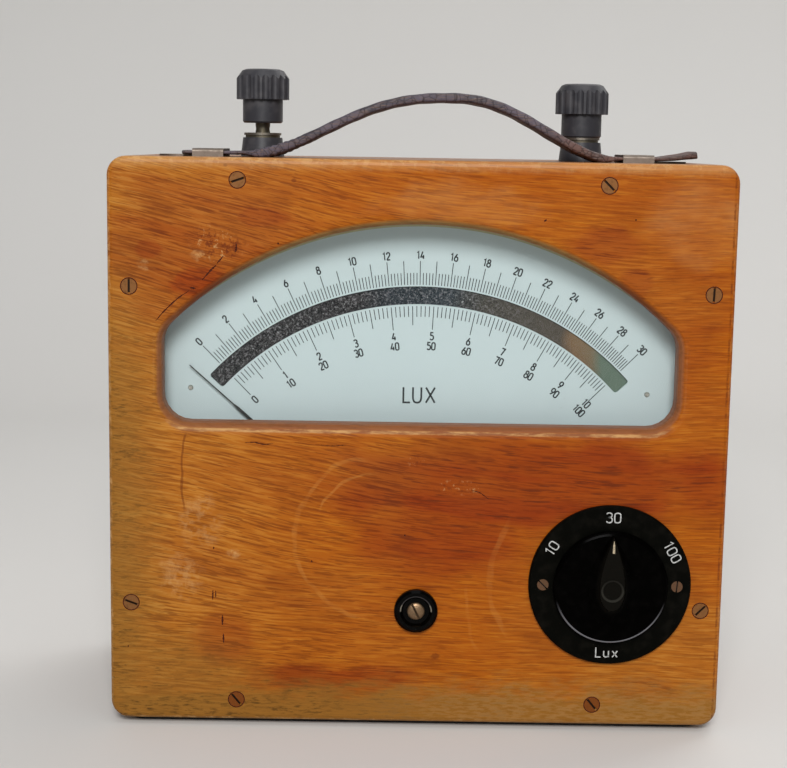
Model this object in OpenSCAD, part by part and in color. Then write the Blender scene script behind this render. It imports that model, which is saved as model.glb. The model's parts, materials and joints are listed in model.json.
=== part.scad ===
// Portable lux meter of the 1950s: wooden case, arched window, moving-coil movement,
// three-position range switch, two binding posts and a leather carrying strap.
// X runs to the right, Y from the front face to the back, Z up from the floor.
// The origin lies on the floor, in the middle of the case.
// Places on the panel are given as X from the middle, height above the case bottom and
// depth behind the front face.

/* [Case] */
// Width of the case
case_w = 200; // [190:1:240]
// Height of the case without its plinth
case_h = 184; // [180:1:215]
// Depth of the case over both panels
case_d = 95; // [80:1:140]
// Thickness of the four boards of the case
wall_t = 14; // [11:0.5:14.5]
// Thickness of the front panel
panel_t = 8; // [6:0.5:10]
// Thickness of the back panel
back_t = 6; // [4:0.5:9]
// Radius of the long outer corners
corner_r = 6; // [3:0.5:10]
// Width of the eased edge round both panels
edge_ease = 1.8; // [0.8:0.1:2.8]
// Thickness of the plinth plate under the case
plinth_t = 2; // [1:0.5:6]
// Distance by which the plinth stays inside the outline of the case
plinth_inset = 5; // [2:0.5:15]

/* [Case screws] */
// Radius of the head of a case screw
case_screw_head_r = 2.7; // [2:0.1:4]
// Radius of the shank of a case screw
case_screw_r = 1.4; // [1:0.1:1.8]
// Length of a case screw
case_screw_l = 22; // [14:1:30]
// Distance of the case screws from the outer faces
case_screw_edge = 7; // [5:0.1:8]
// Height of the lower screws in the sides
side_screw_low = 39.5; // [30:0.5:60]
// Distance of the upper screws in the sides from the top
side_screw_top = 41; // [34:0.5:60]
// Distance of the screws in the top and bottom from the sides
end_screw_side = 41.4; // [36:0.1:56]
// Width of a screwdriver slot
slot_w = 0.7; // [0.4:0.1:1]

/* [Window] */
// Distance of the window from the sides of the case
window_side = 17.2; // [16:0.2:22]
// Distance of the top of the arch from the top of the case
window_top = 20.3; // [18.4:0.1:24]
// Height of the window below the top of the arch
window_h = 64.5; // [60:0.5:67]
// Radius of the four corners of the window
window_corner_r = 9; // [5:0.5:14]
// Radius of the rounding along the window
window_bevel = 3.6; // [1:0.2:5]
// Thickness of the glass
glass_t = 2; // [1.5:0.1:2.2]
// Overlap of the glass behind the panel, above and below the window
glass_lap = 3; // [2:0.1:4]

/* [Scale] */
// Depth of the scale plate behind the front face
scale_depth = 15.6; // [15.4:0.1:16]
// Thickness of the scale plate
scale_t = 1; // [0.8:0.1:1.2]
// Distance of the mirror slot from the arched edge of the window
mirror_below = 20.7; // [19:0.1:24]
// Width of the mirror slot
mirror_w = 5.9; // [5:0.1:7]
// Distance of the ends of the mirror slot from the sides of the window
mirror_side = 13.6; // [12.6:0.1:20]
// Height of the ends of the mirror slot above the lower edge of the window
mirror_rise = 13.28; // [12.5:0.02:18]
// Thickness of the mirror
mirror_t = 1.2; // [1:0.1:1.6]
// Distance of the two scale screws outside the mirror slot
scale_screw_out = 2; // [1.6:0.1:3]
// Angle from the ends of the mirror slot to the scale screws
scale_screw_past = 4.3; // [4:0.1:5]

/* [Movement] */
// Swing of the pointer past each end of the mirror slot
swing_past = 0.9; // [0:0.1:1.4]
// Radius of the soft-iron core
core_r = 12; // [10:0.1:12.5]
// Length of the soft-iron core
core_l = 20; // [16:1:24]
// Air gap between core and pole shoes
air_gap = 3.4; // [3:0.1:4]
// Outer radius of the ring magnet
magnet_r = 34; // [33:0.2:34.4]
// Radial width of the ring magnet
magnet_w = 9; // [7:0.5:10]
// Clearance of the ring magnet above the bottom board
magnet_clear = 1.3; // [0.6:0.1:3]
// Thickness of the movement frame
frame_t = 1.5; // [1:0.1:2]
// Radius of the pivot staff
staff_r = 0.8; // [0.6:0.05:1]
// Radius of a jewel screw
jewel_r = 1.6; // [1.4:0.05:2]
// Reach of the pointer past the mirror slot
pointer_past = 7.1; // [3:0.1:8.2]
// Turns of each hairspring
spring_turns = 4; // [3:1:5]

/* [Zero corrector] */
// Distance of the zero corrector below the pointer axis
zero_drop = 11; // [10:0.1:12]
// Radius of the bezel
zero_bezel_r = 7.1; // [6.6:0.1:8]
// Radius of the domed screw head
zero_head_r = 2.9; // [2.4:0.1:3.2]
// Eccentricity of the pin
zero_ecc = 1.2; // [0.8:0.1:1.3]
// Radius of the pin
zero_pin_r = 0.6; // [0.4:0.05:0.7]

/* [Range switch] */
// Distance of the range switch from the side of the case
knob_side = 37.1; // [36:0.1:38]
// Height of the range switch above the case bottom
knob_h = 48; // [45:0.1:52]
// Radius of the dial ring
dial_r = 26.4; // [24:0.1:28]
// Thickness of the dial ring
dial_t = 2; // [1.5:0.1:2.4]
// Radius of the knob skirt
knob_r = 18.6; // [17:0.1:19.4]
// Distance from the panel face to the top of the knob
knob_top = 8.6; // [7.6:0.1:14]
// Thickness of the knob skirt
skirt_t = 2.8; // [2.2:0.1:3]
// Distance of the two dial screws from the knob axis
dial_screw_r = 21.8; // [21.7:0.1:22.4]
// Radius of the switch shaft
shaft_r = 3; // [2:0.1:3.5]
// Angle between two switch positions
detent_a = 60; // [30:5:60]

/* [Terminals] */
// Distance of each terminal from the side of the case
term_side = 45.6; // [40:0.1:52]
// Radius of the cap over its ribs
cap_r = 8.95; // [8:0.05:10]
// Height of the ribbed part of the cap
cap_rib_h = 10.1; // [8:0.1:14]
// Height of the chamfer at the top of the cap
cap_chamfer = 3.1; // [1:0.1:4]
// Radius of the collar below the ribs
collar_r = 6.8; // [6:0.05:7.4]
// Height of the collar
collar_h = 7.9; // [6:0.1:12]
// Grooves round the cap
cap_grooves = 18; // [12:1:22]
// Radius of the terminal base at its foot
base_r = 7.45; // [6.8:0.05:9]
// Height of the terminal base
base_h = 6.4; // [5:0.1:10]
// Radius of the threaded stud
stud_r = 2.5; // [2:0.1:3]
// Radius of the washers
washer_r = 6.35; // [5.5:0.05:6.6]
// Thickness of a washer
washer_t = 0.8; // [0.5:0.1:1.2]
// Height by which the left cap is unscrewed
left_lift = 3.3; // [0:0.1:4]
// Radius of the wire hole through the stud
wire_hole_r = 1.1; // [0.8:0.05:1.3]

/* [Carrying strap] */
// Width of the strap
strap_w = 20; // [14:0.5:24]
// Distance from the front face to the middle of the strap
strap_y = 24; // [20:0.5:26]
// Thickness of the strap in the bow
strap_t = 2.8; // [2:0.1:3.6]
// Thickness of the thinned ends
strap_end_t = 1.2; // [0.9:0.1:1.4]
// Height of the bow above the case
bow_h = 21.4; // [15:0.1:32]
// Distance of the top of the bow from the middle
bow_x = 9.5; // [0:0.5:14]
// Distance of the middle of each bracket from the side of the case
bracket_side = 30.6; // [26:0.1:34]
// Width of a bracket
bracket_w = 10; // [7:0.5:12]
// Thickness of the bracket sheet
bracket_t = 0.6; // [0.4:0.05:0.8]

/* [Hidden] */
$fn = 96;

fit = 0.05;
seat = 0.02;
y_face = -case_d / 2;
top_z = plinth_t + case_h;
inner_w = case_w - 2 * wall_t;

// Places that follow from the outside of the case
pivot_h = wall_t + magnet_r + magnet_clear;
side_screw_high = case_h - side_screw_top;
end_screw_x = case_w / 2 - end_screw_side;
window_w = case_w - 2 * window_side;
window_arch_r = case_h - window_top - pivot_h;
window_bottom = case_h - window_top - window_h;
knob_x = case_w / 2 - knob_side;
term_x = case_w / 2 - term_side;
bracket_x = case_w / 2 - bracket_side;

// The mirror slot ends inside the window, clear of its sides and of its lower edge
mirror_r1 = window_arch_r - mirror_below;
mirror_r0 = mirror_r1 - mirror_w;
mirror_a = min(asin((window_w / 2 - mirror_side) / mirror_r1),
    acos((window_bottom - pivot_h + mirror_rise) / mirror_r1));
scale_screw_a = mirror_a + scale_screw_past;
scale_screw_x = (mirror_r1 + scale_screw_out) * sin(scale_screw_a);
scale_screw_h = (mirror_r1 + scale_screw_out) * cos(scale_screw_a);
swing_a = mirror_a + swing_past;
pointer_r = mirror_r1 + pointer_past;

wood = [0.78, 0.45, 0.16];
wood_dark = [0.52, 0.28, 0.12];
bakelite = [0.05, 0.045, 0.04];
brass = [0.78, 0.62, 0.34];
steel = [0.66, 0.66, 0.66];
paxolin = [0.45, 0.27, 0.12];
copper = [0.72, 0.38, 0.2];
leather = [0.2, 0.13, 0.12];

// Depths of the layers behind the front face
glass_d1 = panel_t + glass_t;
mirror_d1 = scale_depth + scale_t + mirror_t;
carrier_t = 1.7;
frame_d0 = mirror_d1 + carrier_t;
frame_d1 = frame_d0 + frame_t;
shoe_l = core_l;
shoe_d1 = frame_d1 + shoe_l;
nut_t = 2;
arm_t = 0.7;
arm_d0 = panel_t + nut_t + 0.3;
arm_d1 = arm_d0 + arm_t;
bridge_t = 1.6;
bridge_d0 = arm_d1 + 0.2;
bridge_d1 = bridge_d0 + bridge_t;
spring_w = 0.5;
spring_d0 = bridge_d1 + 0.2;
spring_d1 = spring_d0 + spring_w;
pointer_d0 = spring_d1 + 0.4;
pointer_t = 0.35;
former_gap = 0.8;
former_t = 0.6;
winding_t = 1.2;
leg_d0 = frame_d1 - former_gap - former_t - winding_t;
leg_d1 = shoe_d1 + former_gap + former_t + winding_t;
rear_clear = 3.2;
rear_bridge_d0 = leg_d1 + rear_clear;
rear_bridge_d1 = rear_bridge_d0 + bridge_t;

// Radii in the movement
pole_r = core_r + air_gap;
magnet_r0 = magnet_r - magnet_w;
shoe_half_h = 14;
leg_h = 5;
former_x = core_r + former_gap;
winding_x = former_x + former_t + winding_t;
frame_hole_r = winding_x + 2.2;

// A plain extrusion of a front view between two depths
module slab(d0, d1) {
    translate([0, y_face + d1, plinth_t]) rotate([90, 0, 0]) linear_extrude(d1 - d0) children();
}

// The same, drawn about the pointer axis
module pivot_slab(d0, d1) {
    slab(d0, d1) translate([0, pivot_h]) children();
}

// A round rod or cone along the depth
module rod(x, h, d0, d1, r0, r1) {
    translate([x, y_face + d0, plinth_t + h]) rotate([-90, 0, 0])
        cylinder(h = d1 - d0, r1 = r0, r2 = r1);
}

function polar(r, a) = [r * sin(a), r * cos(a)];
function arc(c, r, a0, a1, n) = [for (i = [0:n]) c + polar(r, a0 + (a1 - a0) * i / n)];

// Part of a ring between two angles from the vertical
module ring_sector(r0, r1, a0, a1) {
    far = 2 * r1;
    difference() {
        intersection() {
            circle(r1);
            polygon(concat([[0, 0]], arc([0, 0], far, a0, a1, 8)));
        }
        circle(r0);
    }
}

// Ring sector from -a to a with rounded corners
module round_sector(r0, r1, a, corner) {
    inner = r0 + corner;
    outer = r1 - corner;
    a_in = a - asin(corner / inner);
    a_out = a - asin(corner / outer);
    ring_sector(r0, r1, -a_in, a_in);
    ring_sector(inner, r1, -a_out, a_out);
    ring_sector(sqrt(inner * inner - corner * corner), sqrt(outer * outer - corner * corner), -a, a);
    for (s = [-1, 1]) {
        translate(polar(inner, s * a_in)) circle(corner);
        translate(polar(outer, s * a_out)) circle(corner);
    }
}

// Solid through a row of rings of points, each ring clockwise as seen from the front
module loft(rings) {
    n = len(rings[0]);
    m = len(rings);
    sides = [for (k = [0:m - 2], i = [0:n - 1])
        let (a = k * n + i, b = k * n + (i + 1) % n)
            each [[a, a + n, b + n], [a, b + n, b]]];
    front = [for (i = [0:n - 1]) i];
    back = [for (i = [n - 1:-1:0]) (m - 1) * n + i];
    polyhedron([for (r = rings) each r], concat([front, back], sides));
}
// A front outline placed at a depth
function ring_at(outline, d) = [for (p = outline) [p[0], y_face + d, plinth_t + p[1]]];

// Front outline of the case, drawn in by a margin
corner_steps = 8;
function rounded(x, low, high, r) =
    concat(arc([x, high], r, 0, 90, corner_steps), arc([x, low], r, 90, 180, corner_steps),
        arc([-x, low], r, 180, 270, corner_steps), arc([-x, high], r, 270, 360, corner_steps));
function case_ring(margin) =
    rounded(case_w / 2 - corner_r, corner_r, case_h - corner_r, corner_r - margin);
module case_outline() {
    x = case_w / 2 - corner_r;
    translate([-case_w / 2, corner_r]) square([case_w, case_h - 2 * corner_r]);
    translate([-x, 0]) square([2 * x, case_h]);
    for (s = [-x, x], h = [corner_r, case_h - corner_r]) translate([s, h]) circle(corner_r);
}

// Case panel between its eased face and its plain face; the depths run either way
ease_steps = 3;
module eased_panel(d_eased, d_plain) {
    step = d_plain > d_eased ? 1 : -1;
    eased = [for (i = [0:ease_steps]) let (a = 90 * i / ease_steps)
        ring_at(case_ring(edge_ease * (1 - sin(a))), d_eased + step * edge_ease * (1 - cos(a)))];
    rings = concat(eased, [ring_at(case_ring(0), d_plain)]);
    n = len(rings);
    loft(step > 0 ? rings : [for (i = [n - 1:-1:0]) rings[i]]);
}

// Arched window, widened by a margin
upper_corner_h = sqrt(pow(window_arch_r - window_corner_r, 2)
    - pow(window_w / 2 - window_corner_r, 2));
function window_half(m) = let (
        r = window_corner_r + m,
        cx = window_w / 2 - window_corner_r,
        shoulder = atan2(cx, upper_corner_h))
    concat(
        arc([0, 0], window_arch_r + m, 0, shoulder, 16),
        arc([cx, upper_corner_h], r, shoulder, 90, 5),
        arc([cx, window_bottom - pivot_h + window_corner_r], r, 90, 180, 6));
function window_ring(m) = let (
        half = window_half(m),
        n = len(half))
    [for (p = concat(half, [for (i = [n - 1:-1:1]) [-half[i][0], half[i][1]]]))
        [p[0], p[1] + pivot_h]];
// The opening with its rounded front edge
bevel_steps = 4;
module window_room() {
    bevel = [for (i = [0:bevel_steps]) let (a = 90 * i / bevel_steps)
        ring_at(window_ring(window_bevel * (1 - sin(a))), window_bevel * (1 - cos(a)))];
    loft(concat([ring_at(window_ring(window_bevel), -1)], bevel,
        [ring_at(window_ring(0), panel_t + 1)]));
}

// Places of the screws that hold a case panel
side_x = case_w / 2 - case_screw_edge;
case_screw_places = concat(
    [for (x = [-side_x, side_x], h = [side_screw_low, side_screw_high]) [x, h]],
    [for (x = [-end_screw_x, end_screw_x], h = [case_screw_edge, case_h - case_screw_edge])
        [x, h]]);
head_depth = case_screw_head_r - case_screw_r;

// Room for a countersunk screw that enters at depth d and runs towards side
module screw_room(p, d, side, gap) {
    l = case_screw_l + gap;
    head = head_depth + gap;
    translate([p[0], y_face + d, plinth_t + p[1]]) rotate([-90 * side, 0, 0]) {
        translate([0, 0, -gap]) cylinder(h = head, r1 = case_screw_head_r + gap, r2 = case_screw_r + gap);
        cylinder(h = l, r = case_screw_r + gap);
    }
}

module panel_screw_rooms(d, side) {
    for (p = case_screw_places) screw_room(p, d, side, fit);
}

// The posts that carry the movement stand on a circle, each clear of the pointer's swing
post_r = 3;
post_out = 5;
post_past = 6.9;
post_ring_r = magnet_r + post_out;
post_a = swing_a + post_past;
post_x = polar(post_ring_r, post_a)[0];
post_rise = polar(post_ring_r, post_a)[1];
post_low = pivot_h - post_rise;
post_high = pivot_h + post_rise;
post_screw_r = 1.2;
post_bite = 5;

// Glass clips: X, height and the direction in which each one points
clip_w = 8;
clip_t = 0.8;
clip_screw_r = 1;
clip_head_r = 1.9;
glass_side_gap = 0.3;
glass_low_lap = glass_lap + 1;
glass_half = inner_w / 2 - glass_side_gap;
glass_low = window_bottom - glass_low_lap;
glass_high = pivot_h + window_arch_r + glass_lap;
glass_cut = 20;
clip_reach = 2.5;
clip_side = 30.8;
clip_x = window_w / 2 - clip_side;
clip_places = [
    [-clip_x, glass_low, 0],
    [clip_x, glass_low, 0],
    [-glass_half + glass_cut / 2, glass_high - glass_cut / 2, 135],
    [glass_half - glass_cut / 2, glass_high - glass_cut / 2, -135]];
clip_screw_back = 4;
function clip_screw_at(c) = [c[0], c[1]] - polar(clip_screw_back, c[2]);

module front_panel() {
    color(wood) difference() {
        eased_panel(0, panel_t);
        window_room();
        panel_screw_rooms(0, 1);
        rod(0, pivot_h - zero_drop, -1, panel_t + 1, zero_bush_r + fit, zero_bush_r + fit);
        rod(knob_x, knob_h, -1, panel_t + 1, bush_r + fit, bush_r + fit);
        for (x = [-post_x, post_x], h = [post_low, post_high])
            rod(x, h, panel_t - post_bite, panel_t + 1, post_screw_r + fit, post_screw_r + fit);
        for (c = clip_places) small_screw_at(clip_screw_at(c)) small_screw(fit);
        for (s = [-1, 1])
            rod(knob_x + s * dial_screw_r, knob_h, -1, dial_screw_bite,
                dial_screw_shank_r + fit, dial_screw_shank_r + fit);
    }
}

// Boards of the case, mitred at the corners
board_d0 = panel_t;
board_d1 = case_d - back_t;
module board_ring() {
    slab(board_d0, board_d1) difference() {
        case_outline();
        translate([-inner_w / 2, wall_t]) square([inner_w, case_h - 2 * wall_t]);
    }
}
module mitre(side) {
    // side 0 top, 1 right, 2 bottom, 3 left
    w = case_w / 2;
    apex = w;
    slab(board_d0 - 1, board_d1 + 1)
        if (side == 0) polygon([[0, case_h - apex], [w, case_h], [w, case_h + 1],
            [-w, case_h + 1], [-w, case_h]]);
        else if (side == 2) polygon([[0, apex], [w, 0], [w, -1], [-w, -1], [-w, 0]]);
        else if (side == 1) polygon([[w - case_h / 2, case_h / 2], [w, case_h],
            [w + 1, case_h], [w + 1, 0], [w, 0]]);
        else polygon([[case_h / 2 - w, case_h / 2], [-w, case_h],
            [-w - 1, case_h], [-w - 1, 0], [-w, 0]]);
}
module case_board(side, tint) {
    color(tint) difference() {
        intersection() {
            board_ring();
            mitre(side);
        }
        panel_screw_rooms(0, 1);
        panel_screw_rooms(case_d, -1);
        if (side == 0) for (x = [-term_x, term_x])
            translate([x, 0, top_z - wall_t - 1]) cylinder(h = wall_t + 2, r = spigot_r + fit);
        if (side == 0) for (s = [-1, 1])
            translate([s * tongue_screw_x, strap_mid_y, top_z + bracket_t]) small_screw(fit);
    }
}

module back_panel() {
    color(wood_dark) difference() {
        eased_panel(case_d, board_d1);
        panel_screw_rooms(case_d, -1);
    }
}

module case_screw(p, d, side, turn) {
    translate([p[0], y_face + d, plinth_t + p[1]]) rotate([-90 * side, 0, 0]) rotate([0, 0, turn])
        difference() {
            union() {
                cylinder(h = head_depth, r1 = case_screw_head_r, r2 = case_screw_r);
                cylinder(h = case_screw_l, r = case_screw_r);
            }
            translate([-case_screw_head_r, -slot_w / 2, -1])
                cube([2 * case_screw_head_r, slot_w, 1 + head_depth / 2]);
        }
}
module case_screws() {
    slot_turns = [20, 90, -45, 92, 50, -19, 50, 45];
    color(steel) for (i = [0:7]) {
        case_screw(case_screw_places[i], 0, 1, slot_turns[i]);
        case_screw(case_screw_places[i], case_d, -1, slot_turns[7 - i]);
    }
}

module plinth() {
    x = case_w / 2 - plinth_inset - corner_r;
    y = case_d / 2 - plinth_inset - corner_r;
    color(bakelite) linear_extrude(plinth_t) polygon(rounded(x, -y, y, corner_r));
}

// Window
module window_glass() {
    color([0.8, 0.9, 0.9, 0.35]) slab(panel_t, glass_d1)
        polygon([[-glass_half, glass_low], [glass_half, glass_low],
            [glass_half, glass_high - glass_cut], [glass_half - glass_cut, glass_high],
            [-glass_half + glass_cut, glass_high], [-glass_half, glass_high - glass_cut]]);
}
module clip_at(c) {
    translate([c[0], y_face + panel_t, plinth_t + c[1]]) rotate([0, c[2], 0]) children();
}
module glass_clips() {
    color(steel) for (c = clip_places) difference() {
        clip_at(c) {
            translate([-clip_w / 2, 0, -clip_screw_back * 2])
                cube([clip_w, clip_t, clip_screw_back * 2 - fit]);
            translate([-clip_w / 2, 0, -clip_t - fit])
                cube([clip_w, glass_t + clip_t, clip_t]);
            translate([-clip_w / 2, glass_t, -clip_t - fit])
                cube([clip_w, clip_t, clip_t + fit + clip_reach]);
        }
        small_screw_at(clip_screw_at(c)) small_screw(fit);
    }
}
// Small countersunk wood screw, its head level with Z = 0 and its point down
small_head_h = 0.8;
small_screw_l = 6;
module small_screw(gap) {
    translate([0, 0, -small_head_h]) cylinder(h = small_head_h + gap, r1 = clip_screw_r + gap,
        r2 = clip_head_r + gap);
    translate([0, 0, -small_screw_l - gap]) cylinder(h = small_screw_l, r = clip_screw_r + gap);
}
module small_screw_at(p) {
    translate([p[0], y_face + panel_t + clip_t, plinth_t + p[1]]) rotate([-90, 0, 0]) children();
}
module small_slotted_screw() {
    difference() {
        small_screw(0);
        cube([3 * clip_head_r, slot_w * 0.8, small_head_h], center = true);
    }
}
module small_wood_screws() {
    color(steel) {
        for (c = clip_places) small_screw_at(clip_screw_at(c)) small_slotted_screw();
        for (s = [-1, 1]) translate([s * tongue_screw_x, strap_mid_y, top_z + bracket_t])
            rotate([0, 0, 35 * s]) small_slotted_screw();
    }
}

// Scale
scale_side_gap = 0.6;
scale_half_w = inner_w / 2 - scale_side_gap;
slot_corner_r = 1;
scale_lap_low = 8;
scale_lap_high = 4;
scale_low = window_bottom - scale_lap_low;
scale_high = pivot_h + window_arch_r + scale_lap_high;
scale_screw_r = 0.5;
scale_head_r = 0.9;
module scale_plate() {
    color([0.75, 0.82, 0.82]) difference() {
        slab(scale_depth, scale_depth + scale_t) difference() {
            translate([-scale_half_w, scale_low])
                square([2 * scale_half_w, scale_high - scale_low]);
            translate([0, pivot_h]) round_sector(mirror_r0, mirror_r1, mirror_a, slot_corner_r);
        }
        for (s = [-1, 1])
            rod(s * scale_screw_x, pivot_h + scale_screw_h, scale_depth - 1,
                scale_depth + scale_t + 1, scale_screw_r + fit, scale_screw_r + fit);
    }
}
mirror_lap = 2.4;
module scale_mirror() {
    color([0.55, 0.58, 0.58]) pivot_slab(scale_depth + scale_t, mirror_d1)
        ring_sector(mirror_r0 - mirror_lap, mirror_r1 + mirror_lap,
            -mirror_a - 1, mirror_a + 1);
}
carrier_in = 5.8;
carrier_out = 6.3;
carrier_r0 = mirror_r0 - carrier_in;
carrier_r1 = mirror_r1 + carrier_out;
carrier_past = 3;
module scale_carrier() {
    carrier_leg_w = 12;
    boss_r = 3;
    color([0.6, 0.6, 0.58]) difference() {
        union() {
            pivot_slab(mirror_d1, frame_d0) {
                ring_sector(carrier_r0, carrier_r1, -scale_screw_a - carrier_past,
                    scale_screw_a + carrier_past);
                for (s = [-1, 1]) rotate(-s * post_a) {
                    translate([-carrier_leg_w / 2, post_ring_r])
                        square([carrier_leg_w, carrier_r0 + 2 - post_ring_r]);
                    translate([0, post_ring_r]) circle(carrier_leg_w / 2);
                }
            }
            for (s = [-1, 1])
                rod(s * scale_screw_x, pivot_h + scale_screw_h, scale_depth + scale_t,
                    mirror_d1 + seat, boss_r, boss_r);
        }
        for (s = [-1, 1]) {
            rod(s * scale_screw_x, pivot_h + scale_screw_h, scale_depth + scale_t - 1,
                frame_d0 + 1, scale_screw_r + fit, scale_screw_r + fit);
            rod(s * post_x, post_high, mirror_d1 - 1, frame_d0 + 1,
                post_screw_r + fit, post_screw_r + fit);
        }
    }
}
module scale_screws() {
    head_t = 0.6;
    color([0.8, 0.8, 0.78]) for (s = [-1, 1]) {
        rod(s * scale_screw_x, pivot_h + scale_screw_h, scale_depth, frame_d0,
            scale_screw_r, scale_screw_r);
        rod(s * scale_screw_x, pivot_h + scale_screw_h, scale_depth - head_t, scale_depth,
            scale_head_r * 0.6, scale_head_r);
    }
}

// Movement
frame_rim = 4.5;
frame_half_w = post_x + frame_rim;
frame_half_h = post_rise + frame_rim;
bridge_foot_x = 22;
foot_half = 3.2;
bridge_half_h = 4.2;
bridge_screw_r = 1;
bridge_head_r = 2;
bridge_head_t = 1;
rear_foot_x = 21;
module movement_frame() {
    color([0.62, 0.6, 0.55]) difference() {
        pivot_slab(frame_d0, frame_d1) difference() {
            square([2 * frame_half_w, 2 * frame_half_h], center = true);
            circle(frame_hole_r);
            for (x = [-post_x, post_x], h = [-post_rise, post_rise])
                translate([x, h]) circle(post_screw_r + fit);
            for (s = [-1, 1]) {
                translate([s * bridge_foot_x, 0]) circle(bridge_screw_r + fit);
                translate(polar(stop_r, s * stop_a)) circle(stop_pin_r + fit);
            }
        }
    }
}
module movement_posts() {
    color(brass) for (x = [-post_x, post_x], h = [post_low, post_high])
        difference() {
            rod(x, h, panel_t, h > pivot_h ? mirror_d1 : frame_d0, post_r, post_r);
            rod(x, h, panel_t - 1, frame_d0 + 1, post_screw_r + fit, post_screw_r + fit);
        }
}
module movement_screws() {
    head_r = 2.4;
    head_t = 1.6;
    color(steel) for (x = [-post_x, post_x], h = [post_low, post_high]) difference() {
        union() {
            rod(x, h, panel_t - post_bite + 0.5, frame_d1, post_screw_r, post_screw_r);
            rod(x, h, frame_d1, frame_d1 + head_t, head_r, head_r);
        }
        slab(frame_d1 + head_t / 2, frame_d1 + 2 * head_t)
            translate([x, h]) square([2 * head_r, slot_w], center = true);
    }
}
module magnet() {
    opening_a = 34;
    magnet_d0 = frame_d1 + 1;
    color([0.32, 0.33, 0.35]) pivot_slab(magnet_d0, shoe_d1 - 1) difference() {
        circle(magnet_r);
        circle(magnet_r0);
        polygon(concat([[0, 0]], arc([0, 0], 2 * magnet_r, -opening_a, opening_a, 4)));
    }
}
module pole_shoes() {
    color([0.45, 0.45, 0.46]) difference() {
        pivot_slab(frame_d1, shoe_d1) for (s = [-1, 1]) intersection() {
            difference() {
                circle(magnet_r0 - seat);
                circle(pole_r);
            }
            translate([s * (core_r / 2 + magnet_r / 2), 0])
                square([magnet_r, 2 * shoe_half_h], center = true);
        }
        for (s = [-1, 1]) {
            rod(s * bridge_foot_x, pivot_h, frame_d1 - 1, frame_d1 + shoe_screw_l,
                bridge_screw_r + fit, bridge_screw_r + fit);
            rod(s * rear_foot_x, pivot_h, shoe_d1 - shoe_screw_l, shoe_d1 + 1,
                bridge_screw_r + fit, bridge_screw_r + fit);
        }
    }
}
shoe_screw_l = 5;
module core() {
    color([0.5, 0.5, 0.5]) difference() {
        rod(0, pivot_h, frame_d1, shoe_d1, core_r, core_r);
        rod(0, pivot_h, frame_d1 - 1, shoe_d1 + 1, staff_r + 1, staff_r + 1);
    }
}
// Two brass bridges over the gaps above and below hold the core
module core_brackets() {
    web_half = 3;
    bar_t = 2;
    bar_half_w = 18;
    inset = 5;
    color(brass) pivot_slab(frame_d1 + inset, shoe_d1 - inset)
        for (s = [0, 1]) mirror([0, s]) difference() {
            union() {
                translate([-bar_half_w, shoe_half_h]) square([2 * bar_half_w, bar_t]);
                translate([-web_half, core_r - 1]) square([2 * web_half, shoe_half_h - core_r + 1.5]);
            }
            circle(core_r + seat);
        }
}
module front_bridge() {
    color(brass) difference() {
        union() {
            pivot_slab(bridge_d0, bridge_d1)
                square([2 * (bridge_foot_x + foot_half), 2 * bridge_half_h], center = true);
            pivot_slab(bridge_d0, frame_d0) for (s = [-1, 1])
                translate([s * bridge_foot_x, 0])
                    square([2 * foot_half, 2 * bridge_half_h], center = true);
        }
        rod(0, pivot_h, bridge_d0 - 1, bridge_d1 + 1, jewel_r + fit, jewel_r + fit);
        for (s = [-1, 1])
            rod(s * bridge_foot_x, pivot_h, bridge_d0 - 1, frame_d0 + 1,
                bridge_screw_r + fit, bridge_screw_r + fit);
    }
}
spring_r0 = 1.7;
spring_r1 = 7.6;
tab_r = spring_r1 + 0.5;
tab_t = 0.8;
module rear_bridge() {
    spring_back = 0.7;
    tab_w = 3;
    color(brass) difference() {
        union() {
            pivot_slab(rear_bridge_d0, rear_bridge_d1) {
                square([2 * (rear_foot_x + foot_half - 0.6), 2 * bridge_half_h], center = true);
                translate([-tab_w / 2, 0]) square([tab_w, tab_r + tab_t]);
            }
            pivot_slab(shoe_d1, rear_bridge_d1) for (s = [-1, 1])
                translate([s * rear_foot_x, 0])
                    square([2 * foot_half - 1.2, 2 * bridge_half_h], center = true);
            pivot_slab(rear_bridge_d0 - spring_back, rear_bridge_d1)
                translate([-tab_w / 2, tab_r]) square([tab_w, tab_t]);
        }
        rod(0, pivot_h, rear_bridge_d0 - 1, rear_bridge_d1 + 1, jewel_r + fit, jewel_r + fit);
        for (s = [-1, 1])
            rod(s * rear_foot_x, pivot_h, shoe_d1 - 1, rear_bridge_d1 + 1,
                bridge_screw_r + fit, bridge_screw_r + fit);
    }
}
module slotted_head(x, h, d0, d1, r, slot_from, slot_to) {
    difference() {
        rod(x, h, d0, d1, r, r);
        slab(slot_from, slot_to) translate([x, h]) square([3 * r, slot_w], center = true);
    }
}
module bridge_screws() {
    color(steel) for (s = [-1, 1]) {
        slotted_head(s * bridge_foot_x, pivot_h, bridge_d0 - bridge_head_t, bridge_d0,
            bridge_head_r, bridge_d0 - 2 * bridge_head_t, bridge_d0 - bridge_head_t / 2);
        rod(s * bridge_foot_x, pivot_h, bridge_d0, frame_d1 + shoe_screw_l - 0.5,
            bridge_screw_r, bridge_screw_r);
        slotted_head(s * rear_foot_x, pivot_h, rear_bridge_d1, rear_bridge_d1 + bridge_head_t,
            bridge_head_r, rear_bridge_d1 + bridge_head_t / 2, rear_bridge_d1 + 2 * bridge_head_t);
        rod(s * rear_foot_x, pivot_h, shoe_d1 - shoe_screw_l + 0.5, rear_bridge_d1,
            bridge_screw_r, bridge_screw_r);
    }
}
jewel_hole_r = 0.4;
jewel_hole_l = 0.9;
pivot_tip_r = 0.3;
tip_l = 0.8;
front_jewel_d1 = bridge_d1 + 0.1;
rear_jewel_d0 = rear_bridge_d0 - 0.1;
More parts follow.
